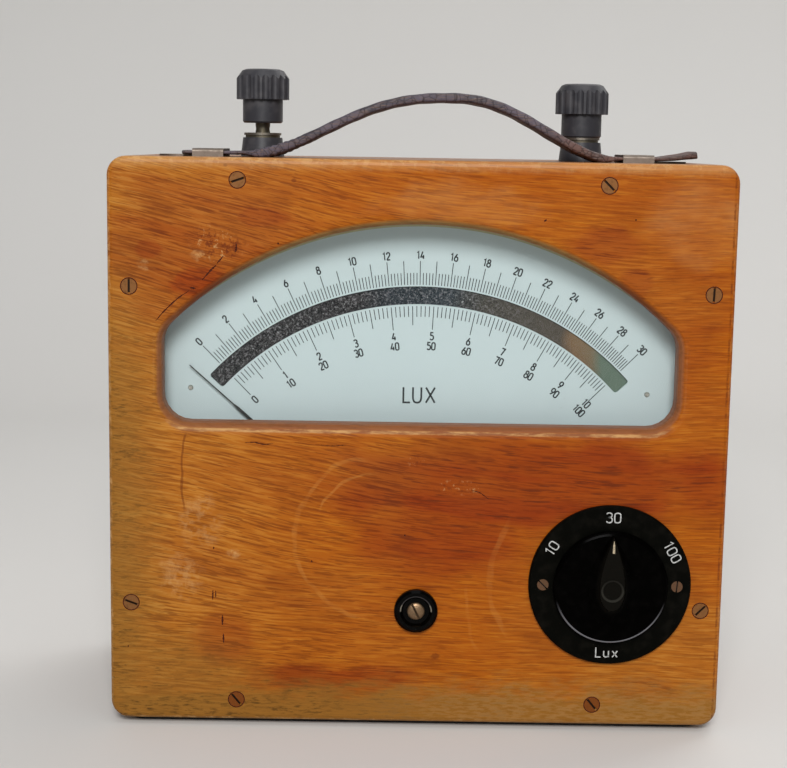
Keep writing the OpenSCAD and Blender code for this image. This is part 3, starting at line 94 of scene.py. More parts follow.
class Finish:
    """A material put together by small calls. Each call adds nodes and returns a socket."""

    def __init__(self, name, **values):
        self.material = bpy.data.materials.new(name)
        self.material.use_nodes = True
        self.tree = self.material.node_tree
        self.shader = self.tree.nodes["Principled BSDF"]
        self.set(**values)

    def set(self, **values):
        """Sets or links the shader's inputs, named with _ for a space."""
        for label, value in values.items():
            self.plug(self.shader.inputs[label.replace("_", " ")], value)

    def plug(self, socket, value):
        """Links a socket, or writes a number or colour on it."""
        if isinstance(value, NodeSocket):
            self.tree.links.new(value, socket)
        elif hasattr(socket.default_value, "__len__"):
            parts = (value,) * 3 if np.isscalar(value) else tuple(value)
            socket.default_value = (*parts, 1.0)[:len(socket.default_value)]
        else:
            socket.default_value = value

    def node(self, kind, inputs, **options):
        """One shader node with its options and inputs."""
        made = self.tree.nodes.new("ShaderNode" + kind)
        for key, value in options.items():
            setattr(made, key, value)
        for key, value in inputs.items():
            self.plug(made.inputs[key], value)
        return made

    def where(self):
        """Object coordinates, from one node for the whole material."""
        if not hasattr(self, "coordinates"):
            self.coordinates = self.node("TexCoord", {}).outputs["Object"]
        return self.coordinates

    def place(self, stretch=(1.0, 1.0, 1.0), centre=None):
        """Object coordinates, counted from a centre and stretched."""
        moved = self.where()
        if centre:
            moved = self.node("VectorMath", {0: moved, 1: centre}, operation="SUBTRACT").outputs[0]
        return self.node("Mapping", {"Vector": moved, "Scale": stretch}).outputs["Vector"]

    def axes(self):
        """The three Object coordinates as single numbers."""
        if not hasattr(self, "xyz"):
            self.xyz = tuple(self.node("SeparateXYZ", {0: self.where()}).outputs)
        return self.xyz

    def noise(self, where, scale, detail, rough=0.5, warp=0.0):
        """Cloudy noise from 0 to 1 about 0.5."""
        return self.node("TexNoise", {"Vector": where, "Scale": scale, "Detail": detail,
                                      "Roughness": rough, "Distortion": warp}).outputs[0]

    def cloud(self, scale, detail=3.0, rough=0.5, stretch=(1.0, 1.0, 1.0)):
        """Cloudy noise over the Object coordinates."""
        return self.noise(self.place(stretch), scale, detail, rough)

    def waver(self, reach, *noise, **stretch):
        """Cloudy noise about 0, from minus half a reach to plus half a reach."""
        return self.times(self.minus(self.cloud(*noise, **stretch), 0.5), reach)

    def cells(self, where, scale, feature="F1"):
        """Distance in a cell pattern."""
        return self.node("TexVoronoi", {"Vector": where, "Scale": scale}, feature=feature
                         ).outputs["Distance"]

    def ramp(self, value, *stops):
        """Colours or greys blended along a value; a stop is (place, colour)."""
        made = self.node("ValToRGB", {0: value})
        points = made.color_ramp.elements
        while len(points) < len(stops):
            points.new(0.5)
        for point, (where, tint) in zip(points, stops):
            point.position = where
            point.color = (tint,) * 3 + (1.0,) if np.isscalar(tint) else tuple(tint) + (1.0,)
        return made.outputs[0]

    def level(self, value, low, high, to_low=0.0, to_high=1.0):
        """Smooth step of a value from one range to another."""
        return self.node("MapRange", {0: value, 1: low, 2: high, 3: to_low, 4: to_high},
                         interpolation_type="SMOOTHSTEP").outputs[0]

    def band(self, value, low, full, past, gone):
        """Smooth step up from low to full and down again from past to gone."""
        return self.times(self.level(value, low, full), self.level(value, gone, past))

    def math(self, operation, a, b=0.0):
        """Arithmetic on numbers."""
        return self.node("Math", {0: a, 1: b}, operation=operation).outputs[0]

    def plus(self, a, b):
        """Sum of two numbers."""
        return self.math("ADD", a, b)

    def minus(self, a, b):
        """Difference of two numbers."""
        return self.math("SUBTRACT", a, b)

    def times(self, first, *others):
        """Product of numbers."""
        for value in others:
            first = self.math("MULTIPLY", first, value)
        return first

    def most(self, first, *others):
        """Largest of numbers."""
        for value in others:
            first = self.math("MAXIMUM", first, value)
        return first

    def mix(self, factor, a, b, blend="MIX"):
        """Two colours mixed by a factor."""
        made = self.node("Mix", {}, data_type="RGBA", blend_type=blend)
        for key, value in ((0, factor), (6, a), (7, b)):
            self.plug(made.inputs[key], value)
        return made.outputs[2]

    def vary(self, value, colour, low, high):
        """Shades of a colour, from one share of it to another along a value."""
        return self.mix(value, [low * c for c in colour], [high * c for c in colour])

    def away(self, x, z, reach_x=1.0, reach_z=1.0):
        """Distance on the front from a place, counted in reaches."""
        px, _, pz = self.axes()
        dx = self.times(self.minus(px, float(x)), 1.0 / reach_x)
        dz = self.times(self.minus(pz, float(z)), 1.0 / reach_z)
        return self.math("SQRT", self.plus(self.times(dx, dx), self.times(dz, dz)))

    def near(self, x, z, reach_x, reach_z, rag, rag_scale):
        """A patch about a place on the front in millimetres: 1 inside, 0 outside, with a
        ragged edge."""
        away = self.away(x * MM, z * MM, reach_x * MM, reach_z * MM)
        return self.level(self.plus(away, self.waver(rag, rag_scale)), 1.1, 0.5)

    def patches(self, *rows):
        """The strongest of several patches. A row is X, height and the reach both ways in
        millimetres, raggedness, the scale of that and strength."""
        return self.most(*(self.times(self.near(*row[:-1]), row[-1]) for row in rows))

    def below(self):
        """The base colour so far."""
        return self.shader.inputs["Base Color"].links[0].from_socket

    def lay(self, colour, *factors):
        """Mixes a colour over the base colour by the product of factors."""
        self.set(Base_Color=self.mix(self.times(*factors), self.below(), colour))

    def slot(self, depth, reach=0.3 * MM):
        """Darker in a slot: dark from a depth below the front inwards."""
        self.lay((0.02, 0.012, 0.008), self.level(self.axes()[1], depth, depth + reach))

    def bump(self, height, distance, strength):
        """Bump from a height."""
        self.set(Normal=self.node("Bump", {"Height": height, "Distance": distance,
                                           "Strength": strength}).outputs[0])


def dress(finish, *names):
    """Gives CAD nodes a material."""
    for name in names:
        slots = frame["nodes"][name].data.materials
        slots.clear()
        slots.append(finish.material)


def metal(name, tint, rough=0.35, stain=(0.10, 0.06, 0.03), stained=0.35, scale=260.0,
          metallic=1.0):
    """Worn metal: tint and roughness wander, stains sit in a cloud, fine scratches bump."""
    f = Finish(name, Metallic=metallic)
    cloud = f.cloud(scale, 4.0, 0.6)
    fine = f.cloud(scale * 9.0, stretch=(1.0, 1.0, 3.0))
    f.set(Base_Color=f.vary(fine, tint, 0.82, 1.12),
          Roughness=f.level(f.plus(cloud, f.times(fine, 0.3)), 0.3, 0.9, rough - 0.08,
                            rough + 0.22))
    f.lay(stain, f.level(cloud, 0.62 - 0.3 * stained, 0.8), 0.2 + stained)
    f.bump(fine, 0.03 * MM, 0.6)
    return f


def moulding(name, tint, rough, dust=(0.16, 0.14, 0.12), dusty=0.2, coat=0.0, scale=180.0,
             gloss=0.5):
    """Moulded resin: near-even tint with a dull dusty cloud and a fine uneven skin."""
    f = Finish(name, Coat_Weight=coat, Coat_Roughness=0.12, Specular_IOR_Level=gloss)
    cloud = f.cloud(scale, 4.0, 0.55)
    fine = f.cloud(scale * 14.0, 2.0)
    f.set(Base_Color=f.vary(fine, tint, 0.8, 1.2),
          Roughness=f.level(cloud, 0.3, 0.75, rough, rough + 0.16))
    f.lay(dust, f.level(cloud, 0.42, 0.75), dusty)
    f.bump(f.plus(fine, f.times(cloud, 2.0)), 0.02 * MM, 0.5)
    return f


# Meshes

def make_piece(name, points, faces, finish, body=None, smooth=False):
    """A new mesh object in the row frame, which rides on its body if it has one."""
    mesh = bpy.data.meshes.new(name)
    mesh.from_pydata(np.asarray(points).tolist(), [], [list(map(int, f)) for f in faces])
    mesh.update()
    mesh.materials.append(finish.material)
    if smooth:
        mesh.shade_smooth()
    piece = bpy.data.objects.new(name, mesh)
    bpy.context.collection.objects.link(piece)
    if body:
        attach(piece, body)
    return piece


def grid_faces(rows, columns, closed=False):
    """Quads between neighbouring rows of points; closed joins the last column to the first."""
    r = np.arange(rows - 1)[:, None]
    c = np.arange(columns if closed else columns - 1)[None, :]
    n = (c + 1) % columns
    a, b = r * columns + c, r * columns + n
    return np.stack([a, b, b + columns, a + columns], -1).reshape(-1, 4)


def smooth_path(points, closed=False, steps=6):
    """Curve through points: a cubic whose slope at each point is half the way between its
    neighbours (Catmull-Rom)."""
    p = np.asarray(points, float)
    ends = (p[-1:], p[:2]) if closed else (2 * p[:1] - p[1:2], 2 * p[-1:] - p[-2:-1])
    q = np.concatenate([ends[0], p, ends[1]])
    t = (np.arange(steps) / steps)[None, :, None]
    a, b, c, d = (q[i:len(q) - 3 + i, None] for i in range(4))
    curve = 0.5 * (2 * b + (c - a) * t + (2 * a - 5 * b + 4 * c - d) * t**2
                   + (3 * b - a - 3 * c + d) * t**3).reshape(-1, p.shape[1])
    return np.concatenate([curve, p[:1] if closed else p[-1:]])


def ribbon(path, width):
    """Flat ribbon along a path in a plane: each point is moved half a width to both sides,
    along the mean normal of the segments that meet there."""
    p = np.asarray(path, float)
    step = np.diff(p, axis=0)
    step /= np.maximum(np.linalg.norm(step, axis=1, keepdims=True), 1e-9)
    first, last = (step[-1:], step[:1]) if np.allclose(p[0], p[-1]) else (step[:1], step[-1:])
    before, after = np.vstack([first, step]), np.vstack([step, last])
    mean = before + after
    mean /= np.maximum(np.linalg.norm(mean, axis=1, keepdims=True), 1e-9)
    normal = np.stack([-mean[:, 1], mean[:, 0]], 1)
    reach = 0.5 * np.broadcast_to(width, len(p))[:, None]
    reach = reach / np.maximum((mean * after).sum(1), 0.6)[:, None]
    points = np.stack([p + normal * reach, p - normal * reach], 1).reshape(-1, 2)
    return points, grid_faces(len(p), 2)


def gather(parts):
    """Several (points, faces) as one."""
    points, faces, start = [], [], 0
    for p, f in parts:
        points.append(p)
        faces.append(np.asarray(f) + start)
        start += len(p)
    return np.concatenate(points), np.concatenate(faces)


# Numerals and letters: strokes in a cell a hundred units high. Each row is a kind and then X and
# Y of its points in turn; "c" is a curve, "l" straight lines, "o" a closed curve.
BOWL = (27, 58, 46, 52, 53, 30, 46, 7, 27, 0, 8, 7, 1, 30, 8, 52)
SIX = (40, 100, 17, 66, 2, 36)


def turned(row):
    """A row of points after half a turn in the cell of a numeral."""
    return [size - c for size, c in zip((54, 100) * (len(row) // 2), row)]


STROKES = {
    "0": [("o", 27, 100, 48, 92, 53, 70, 53, 30, 48, 8, 27, 0, 6, 8, 1, 30, 1, 70, 6, 92)],
    "1": [("l", 10, 82, 32, 100, 32, 0)],
    "2": [("c", 2, 74, 8, 93, 27, 100, 47, 92, 51, 72, 40, 50, 18, 25, 1, 0), ("l", 0, 0, 54, 0)],
    "3": [("c", 3, 87, 13, 98, 30, 100, 48, 90, 49, 68, 38, 57, 20, 55),
          ("c", 20, 55, 42, 51, 53, 35, 52, 15, 40, 2, 20, 0, 2, 12)],
    "4": [("l", 30, 100, 1, 25, 55, 25), ("l", 41, 52, 41, 0)],
    "5": [("l", 49, 100, 9, 100, 6, 56),
          ("c", 6, 56, 24, 63, 44, 56, 53, 36, 50, 13, 33, 0, 14, 2, 1, 13)],
    "6": [("c", *SIX), ("o", *BOWL)],
    "7": [("l", 0, 100, 53, 100, 20, 0)],
    "8": [("o", 27, 100, 43, 94, 48, 78, 42, 61, 27, 55, 12, 61, 6, 78, 11, 94),
          ("o", 27, 55, 46, 49, 54, 28, 46, 6, 27, 0, 8, 6, 0, 28, 8, 49)],
    "9": [("c", *turned(SIX)), ("o", *turned(BOWL))],
    "L": [("l", 2, 100, 2, 0, 46, 0)],
    "U": [("c", 2, 100, 2, 60, 3, 25, 12, 5, 29, 0, 46, 5, 55, 25, 56, 60, 56, 100)],
    "X": [("l", 0, 100, 58, 0), ("l", 58, 100, 0, 0)],
    "u": [("c", 2, 66, 2, 40, 4, 12, 20, 0, 36, 6, 44, 20), ("l", 44, 66, 44, 0)],
    "x": [("l", 0, 66, 44, 0), ("l", 44, 66, 0, 0)],
}
ADVANCE = {"1": 0.66, "L": 0.62, "U": 0.86, "X": 0.8, "u": 0.68, "x": 0.66}


def glyph_paths(letter):
    """The strokes of one numeral or letter as finished paths in a cell one unit high."""
    for kind, *row in STROKES[letter]:
        shape = np.reshape(row, (-1, 2)) / 100.0
        yield shape if kind == "l" else smooth_path(shape, closed=kind == "o", steps=4)


def word(text, height, thick, at, turn=0.0, narrow=1.0, spread=1.0):
    """Ribbons of a word centred at a place in the plane, turned clockwise, with its letters
    beside each other by their advance."""
    widths = np.array([ADVANCE.get(c, 0.74) for c in text]) * narrow * spread
    starts = np.concatenate([[0.0], np.cumsum(widths)[:-1]])
    middle = 0.5 * (widths.sum() - 0.2 * narrow * spread)
    c, s = math.cos(turn), math.sin(turn)
    spin = np.array([[c, -s], [s, c]])
    parts = []
    for letter, start in zip(text, starts):
        for path in glyph_paths(letter):
            flat = (path * [narrow, 1.0] + [start - middle, -0.5]) * height
            parts.append(ribbon(flat @ spin + at, thick))
    return parts


def polar(radius, angle):
    """Places at radii and angles clockwise from straight up, in the plane of the dial."""
    return np.stack([radius * np.sin(angle), radius * np.cos(angle)], -1)


def ticks(angles, start, end, thick):
    """Radial ribbons from one radius in millimetres to the other."""
    return [ribbon(np.array([polar(start * MM, a), polar(end * MM, a)]), thick) for a in angles]


def front(node):
    """Place along Y of the front of a CAD node."""
    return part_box(node)[0][1]


def print_on(node, name, parts, centre, body, finish, lift=INK_LIFT):
    """Flat print just before the front of a node, its centre at a place of the row frame."""
    flat, faces = gather(parts)
    depth = np.full(len(flat), front(node) - lift)
    points = np.stack([flat[:, 0] + centre[0], depth, flat[:, 1] + centre[2]], 1)
    ink = make_piece(name, points, faces, finish, body).modifiers.new("Ink", "SOLIDIFY")
    ink.thickness = INK_THICK
    ink.offset = 0.0


# Settings

class WoodSettings(PropertyGroup):
    """Colours and grain of the case."""
    honey: colour_value("Honey", (0.350, 0.084, 0.002), "Main colour of the varnished veneer")
    ochre: colour_value("Ochre", (0.385, 0.138, 0.014), "Colour where the varnish has faded")
    red: colour_value("Red", (0.235, 0.030, 0.001), "Colour of the darker, redder parts")
    streak: colour_value("Streaks", (0.115, 0.018, 0.002), "Colour of the dark short streaks")
    grey: colour_value("Grime", (0.235, 0.105, 0.016), "Greenish film along the worn edges")
    side: colour_value("Boards", (0.30, 0.105, 0.025), "Colour of the boards behind the panel")
    bare: colour_value("Bare wood", (0.56, 0.32, 0.125), "Colour of the worn edges")
    bevel: colour_value("Bevel", (0.23, 0.13, 0.04), "Colour of the upper bevel of the window")
    sill: colour_value("Sill", (0.235, 0.088, 0.036), "Colour of the lower bevel of the window")
    arc: colour_value("Arc", (0.15, 0.040, 0.011), "Colour of the bevel on both sides of the arch")
    crack: colour_value("Cracks", (0.110, 0.020, 0.006), "Colour inside cracks and nicks")
    rubbed: colour_value("Scratches", (0.62, 0.28, 0.06), "Colour of the faint scratches")


class DialSettings(PropertyGroup):
    """Scale and print of the dial."""
    paper: colour_value("Dial", (0.55, 0.66, 0.665), "Colour of the scale plate")
    ink: colour_value("Ink", (0.006, 0.009, 0.011), "Colour of the ticks and numerals")
    start: angle_value("Start of the scale", -44.3, "Angle of zero from straight up")
    sweep: angle_value("Sweep", 95.35, "First term of the scale law")
    widen: angle_value("Widening", 2.5, "Second term of the scale law, which widens the middle")
    crowd: angle_value("Crowding", -8.8, "Third term of the scale law, which crowds the end")
    tick: length_value("Tick width", 0.00026, "Width of a tick")
    numeral: length_value("Numeral height", 0.00236, "Height of a numeral")
    stroke: length_value("Numeral stroke", 0.00046, "Stroke width of a numeral")


class ControlSettings(PropertyGroup):
    """Range dial, knob, zero corrector and terminals."""
    ring: colour_value("Ring", (0.0018, 0.0018, 0.0012), "Colour of the ring behind the knob")
    white: colour_value("Lettering", (0.52, 0.52, 0.50), "Colour of the numbers on the ring")
    cream: colour_value("Index", (0.46, 0.37, 0.24), "Colour of the line in the knob")
    knob: colour_value("Knob", (0.0005, 0.0004, 0.0003), "Colour of the glossy knob")
    cap: colour_value("Terminal cap", (0.034, 0.033, 0.038), "Colour of the dull fluted caps")
    height: length_value("Number height", 0.0032, "Height of the numbers on the ring")
    stroke: length_value("Number stroke", 0.00038, "Stroke width of the numbers on the ring")


class StrapSettings(PropertyGroup):
    """Leather strap on the top."""
    hide: colour_value("Leather", (0.060, 0.049, 0.063), "Colour of the worn leather")
    tail: colour_value("Strap end", (0.085, 0.040, 0.031), "Colour of the right end of the strap")
    edge: colour_value("Cut edge", (0.15, 0.095, 0.075), "Colour of the frayed edge")
    width: length_value("Width", 0.0200, "Width of the strap")


class StageSettings(PropertyGroup):
    """Camera, floor and light."""
    lens: FloatProperty(name="Lens", description="Focal length in millimetres",
                        default=SENSOR_MM * FOCAL_PIXELS / PICTURE_PIXELS,
                        subtype="DISTANCE_CAMERA")
    pitch: angle_value("Pitch", 8.405, "How far the camera looks down")
    yaw: angle_value("Yaw", -0.126, "How far the camera is turned")
    roll: angle_value("Roll", -0.917, "How far the camera leans")
    floor: colour_value("Floor", (0.68, 0.665, 0.64), "Colour of the floor and backdrop")


GROUPS = {"wood": WoodSettings, "dial": DialSettings, "controls": ControlSettings,
          "strap": StrapSettings, "stage": StageSettings}


class LuxMeterSettings(PropertyGroup):
    """All settings of the lux meter."""
    wood: PointerProperty(type=WoodSettings)
    dial: PointerProperty(type=DialSettings)
    controls: PointerProperty(type=ControlSettings)
    strap: PointerProperty(type=StrapSettings)
    stage: PointerProperty(type=StageSettings)


def settings():
    """The settings on the scene."""
    return bpy.context.scene.lux_meter


# Stage

LAMPS = (("lamp_front", (-0.05, -1.30, 0.87), 0.5, 18.5),
         ("lamp_above", (0.0, -0.35, 1.45), 0.8, 3.0),
         ("lamp_back", (0.5, 0.7, 1.1), 0.9, 7.0))
LAMP_AIM = (0.0, 0.0, 0.1)
SKY_COLOUR, SKY_STRENGTH = (0.93, 0.96, 1.0, 1.0), 0.22
FLOOR_REACH, WALL_Y, WALL_BEND = 3.0, 0.55, 0.35


def add_camera(context, s):
    """Turned by yaw about Z, then pitch about X, then roll about its own axis."""
    turn = (Matrix.Rotation(s.yaw, 3, "Z") @ Matrix.Rotation(-s.pitch, 3, "X")
            @ Matrix.Rotation(s.roll, 3, "Y"))
    right, forward, up = (turn.col[i].copy() for i in range(3))
    data = bpy.data.cameras.new("camera")
    data.sensor_width = SENSOR_MM
    data.sensor_fit = "HORIZONTAL"
    data.lens = s.lens
    data.clip_start = 0.01
    camera = bpy.data.objects.new("camera", data)
    place = Matrix((right, up, -forward)).transposed().to_4x4()
    place.translation = CAMERA_PLACE
    camera.matrix_world = place
    context.collection.objects.link(camera)
    context.scene.camera = camera


def add_backdrop(s):
    """Floor that turns up into a wall: straight, a quarter circle, straight, swept in X."""
    a = np.linspace(0.0, np.pi / 2, 25)
    y = np.concatenate([[-FLOOR_REACH, 0.0], WALL_Y + WALL_BEND * np.sin(a), [WALL_Y + WALL_BEND]])
    z = np.concatenate([[0.0, 0.0], WALL_BEND - WALL_BEND * np.cos(a), [FLOOR_REACH]])
    x = np.array([-FLOOR_REACH, FLOOR_REACH])
    points = np.stack(np.broadcast_arrays(x[None, :], y[:, None], z[:, None]), -1)
    f = Finish("pale_floor", Roughness=0.85)
    f.set(Base_Color=f.vary(f.cloud(3.0), s.floor, 0.97, 1.03))
    make_piece("backdrop", points.reshape(-1, 3), grid_faces(len(y), 2), f, smooth=True)


def add_lamp(name, place, size, power):
    """Square area lamp that looks at the object."""
    data = bpy.data.lights.new(name, "AREA")
    data.size = size
    data.energy = power
    lamp = bpy.data.objects.new(name, data)
    bpy.context.collection.objects.link(lamp)
    back = np.array(place) - LAMP_AIM
    back /= np.linalg.norm(back)
    x = np.cross([0.0, 0.0, 1.0], back)
    x /= np.linalg.norm(x)
    turn = Matrix((x, np.cross(back, x), back)).transposed()
    lamp.matrix_world = Matrix.Translation(place) @ turn.to_4x4()


class LUXMETER_OT_stage(Operator):
    """Camera at the photograph's angle, pale floor with a curved backdrop, soft light"""
    bl_idname = "lux_meter.stage"
    bl_label = "Stage"

    def execute(self, context):
        s = settings().stage
        add_camera(context, s)
        add_backdrop(s)
        for lamp in LAMPS:
            add_lamp(*lamp)
        world = bpy.data.worlds.new("studio")
        world.use_nodes = True
        sky = world.node_tree.nodes["Background"].inputs
        sky[0].default_value = SKY_COLOUR
        sky[1].default_value = SKY_STRENGTH
        context.scene.world = world
        context.scene.view_settings.view_transform = "Standard"
        return {"FINISHED"}


# Case

# Cracks and nicks in the veneer: width, then places (X, height), in millimetres
CRACKS = (
    (0.38, (-55.9, 95.1), (-53.0, 95.2), (-50.0, 94.6), (-46.9, 94.9)),
    (0.25, (-31.5, 94.7), (-27.3, 94.4), (-23.4, 94.8)),
    (0.30, (17.2, 80.5), (20.0, 79.8), (23.0, 77.6)),
    (0.50, (-66.3, 46.0), (-66.4, 42.7)), (0.35, (-65.4, 45.8), (-65.4, 43.4)),
    (0.65, (-63.2, 37.6), (-63.2, 34.2)), (0.60, (-62.9, 31.4), (-62.8, 28.2)),
    (0.45, (-84.5, 134.0), (-82.0, 137.0), (-77.6, 141.2), (-74.0, 143.7)),
    (0.80, (-73.6, 144.8), (-71.8, 144.6)), (0.60, (-69.7, 147.3), (-66.9, 150.5), (-65.2, 152.1)),
    (0.50, (-65.0, 152.6), (-64.0, 153.8), (-63.0, 155.0)),
    (0.70, (-58.9, 159.0), (-58.9, 157.2), (-59.4, 156.2)), (0.80, (-66.3, 60.1), (-65.8, 60.1)),
    (0.75, (-34.4, 56.1), (-33.9, 56.2)), (0.75, (-4.2, 65.2), (-3.7, 65.3)),
    (0.70, (-94.3, 26.6), (-93.9, 26.6)), (0.70, (-45.9, 159.2), (-45.4, 159.3)),
    (0.60, (67.0, 168.4), (67.5, 168.4)), (0.60, (38.2, 167.5), (39.1, 168.1)))
# Places of the screws on the panel, and the rings of dirt and painted shadow round them, in
# millimetres
SCREWS = [(x, z) for x in (-93.0, 93.0) for z in (41.5, 145.0)] + [
    (x, z) for x in (-58.6, 58.6) for z in (9.0, 179.0)]
DIRT_AND_SHADOW_RADIUS, DIRT_AND_SHADOW_WIDTH = 2.62, 0.34
PANEL_MIDDLE = 0.094


def veneer(s):
    """Rotary-cut veneer: the height is bent by a slope that fades to the right, and
    stretched noises of that bent height give short dashes, long lines, fibres and bands.
    Faded, red and grimy zones, and a painted sheen near the top, are placed by soft
    patches."""
    f = Finish("veneer", Coat_Weight=0.04, Coat_Roughness=0.2, Specular_IOR_Level=0.10)
    x, y, z = f.axes()
    root = f.math("SQRT", f.plus(f.times(x, x), 0.0012))
    lean = f.times(f.minus(x, root), f.level(z, 0.010, 0.10, 0.02, 0.115))
    swell = f.waver(0.010, 1.0, 2.0, stretch=(9.0, 1.0, 15.0))
    bent = f.plus(f.plus(z, lean), swell)

    def grain(length, across, detail, rough, shift=0.0):
        where = f.node("CombineXYZ", {0: f.plus(f.times(x, 1.0 / length), shift),
                                      1: f.times(y, 0.35 / across),
                                      2: f.times(bent, 1.0 / across)}).outputs[0]
        return f.noise(where, 1.0, detail, rough)

    dashes = grain(0.0110, 0.00064, 2.0, 0.4)
    rows = grain(0.0220, 0.0012, 1.0, 0.5, 7.0)
    fibres = grain(0.0075, 0.00040, 2.0, 0.5, 3.0)
    streaks = grain(0.0110, 0.00085, 2.0, 0.6, 11.0)
    bands = grain(0.1100, 0.0085, 3.0, 0.6, 5.0)
    clouds = f.noise(f.place((1.0, 1.0, 1.4), (0.03, 0.0, 0.01)), 17.0, 3.0, 0.55)
    shade = f.cloud(40.0, 4.0, 0.6, (1.0, 1.0, 1.8))

    f.set(Base_Color=f.mix(f.level(x, -0.115, -0.01), s.ochre, s.honey),
          Roughness=f.level(clouds, 0.3, 0.8, 0.36, 0.5))
    redness = f.patches(
        (36, 83, 85, 19, 0.9, 45, 1),
        (8, 66, 32, 18, 0.8, 50, 0.8),
        (-70, 156, 45, 28, 0.7, 60, 0.55),
        (-51.4, 167.5, 11, 4.5, 0.8, 150, 1),
        (-70.5, 146, 12, 7, 0.7, 150, 1),
        (-86.5, 156.8, 6, 5, 0.8, 200, 0.9),
        (58.5, 160, 15, 8, 0.7, 120, 0.9),
        (68, 148.5, 7, 6, 0.7, 150, 1),
        (75, 140, 30, 40, 0.7, 60, 0.35),
        (75, 14, 14, 6, 1.3, 120, 0.75),
        (-28, 16.5, 34, 5.5, 1.4, 120, 0.75),
        (-63, 30, 12, 10, 0.9, 120, 0.6))
    f.lay(s.red, f.plus(f.times(redness, 0.8), f.times(f.level(bands, 0.4, 0.68), 0.3)))
    f.lay(s.ochre, f.most(f.patches((83, 24, 35, 28, 0.8, 60, 0.55)),
                          f.level(clouds, 0.35, 0.75, 0.0, 0.30)))
    plain = f.below()
    lighter = f.mix(1.0, plain, (1.26, 1.60, 2.8), "MULTIPLY")
    darker = f.mix(1.0, plain, (0.55, 0.46, 0.40), "MULTIPLY")
    calm = f.minus(f.level(x, -0.02, -0.10, 0.75, 1.0), f.times(redness, 0.5))
    f.lay(lighter, f.level(dashes, 0.53, 0.62, 0.0, 0.8), calm)
    f.lay(lighter, f.level(rows, 0.54, 0.70, 0.0, 0.5), calm)
    weak = f.level(x, -0.05, 0.06, 1.0, 0.6)
    f.lay(darker, f.level(dashes, 0.45, 0.38, 0.0, 0.55), weak)
    f.lay(darker, f.level(fibres, 0.45, 0.38, 0.0, 0.8), weak)
    f.lay(darker, f.level(shade, 0.52, 0.72, 0.0, 0.35))
    # Painted sheen: pale hazy patches near the top, where the varnish catches the light.
    f.lay(s.bare, f.patches((88, 168, 18, 16, 0.8, 90, 0.2),
                            (12, 172, 30, 8, 1, 120, 0.14)),
          f.level(shade, 0.35, 0.6, 0.4, 1.0))
    f.lay(s.streak, f.level(streaks, 0.57, 0.68), f.plus(0.08, redness), 0.75)
    for part in (grime, scuffs, trails, rims):
        part(f, s)
    f.bump(f.plus(dashes, f.times(fibres, 0.6)), 0.06 * MM, 0.5)
    return f


def grime(f, s):
    """Greenish film that fades upwards from the lower edge and in from the left edge,
    with fine dark dirt in it."""
    x, _, z = f.axes()
    ragged = f.cloud(150.0, 4.0, 0.65, (0.6, 1.0, 1.6))
    specks = f.cloud(900.0, 3.0, 0.7, (0.3, 1.0, 1.6))
    low = f.level(f.minus(z, f.times(ragged, 0.020)), 0.010, -0.0020)
    left = f.times(f.level(f.minus(x, f.times(ragged, 0.010)), -0.082, -0.103),
                   f.level(z, 0.165, 0.100), 0.85)
    film = f.most(low, left, f.patches((-92, 14, 50, 24, 0.7, 60, 0.6)))
    f.lay(s.grey, film, 0.85)
    f.lay(s.bare, low, f.level(x, -0.03, 0.03), f.level(specks, 0.42, 0.60), 0.22)
    f.lay([c * 0.3 for c in s.grey], f.level(specks, 0.47, 0.66),
          f.level(ragged, 0.40, 0.62, 0.3, 1.0), f.level(x, 0.01, -0.05, 0.3, 1.0), film, 0.85)


def scuffs(f, s):
    """Rubbed places: pale clouds at the lower left, mottled flakes at the upper left, nicks
    in the middle."""
    grains = f.cloud(620.0, 4.0, 0.7)
    pale = f.patches((-70.5, 69, 7.5, 10, 1.3, 170, 0.34),
                     (-77, 50, 8.5, 8.5, 1.3, 170, 0.36),
                     (-59.5, 58, 3.5, 2, 1, 300, 0.6),
                     (-70.9, 155, 2.8, 2, 0.8, 400, 0.45),
                     (-88, 152, 2.6, 2.4, 0.8, 400, 0.35))
    f.lay(s.bare, pale, f.level(f.cloud(260.0, 3.0, 0.6), 0.40, 0.56),
          f.level(grains, 0.38, 0.62, 0.35, 1.0))
    flaky = f.near(-64.7, 159.2, 10, 5.8, 0.9, 260)
    f.lay(s.bare, flaky, f.level(grains, 0.56, 0.66), 0.6)
    f.lay(s.streak, flaky, f.level(grains, 0.47, 0.38), 0.75)
    nicks = f.patches((-0.3, 90, 4.5, 2.2, 0.8, 500, 1), (13.5, 81.5, 9, 3, 0.9, 500, 1))
    f.lay(s.bare, nicks, f.level(grains, 0.57, 0.64), 0.35)
    f.lay(s.streak, nicks, f.level(grains, 0.44, 0.38), 0.5)


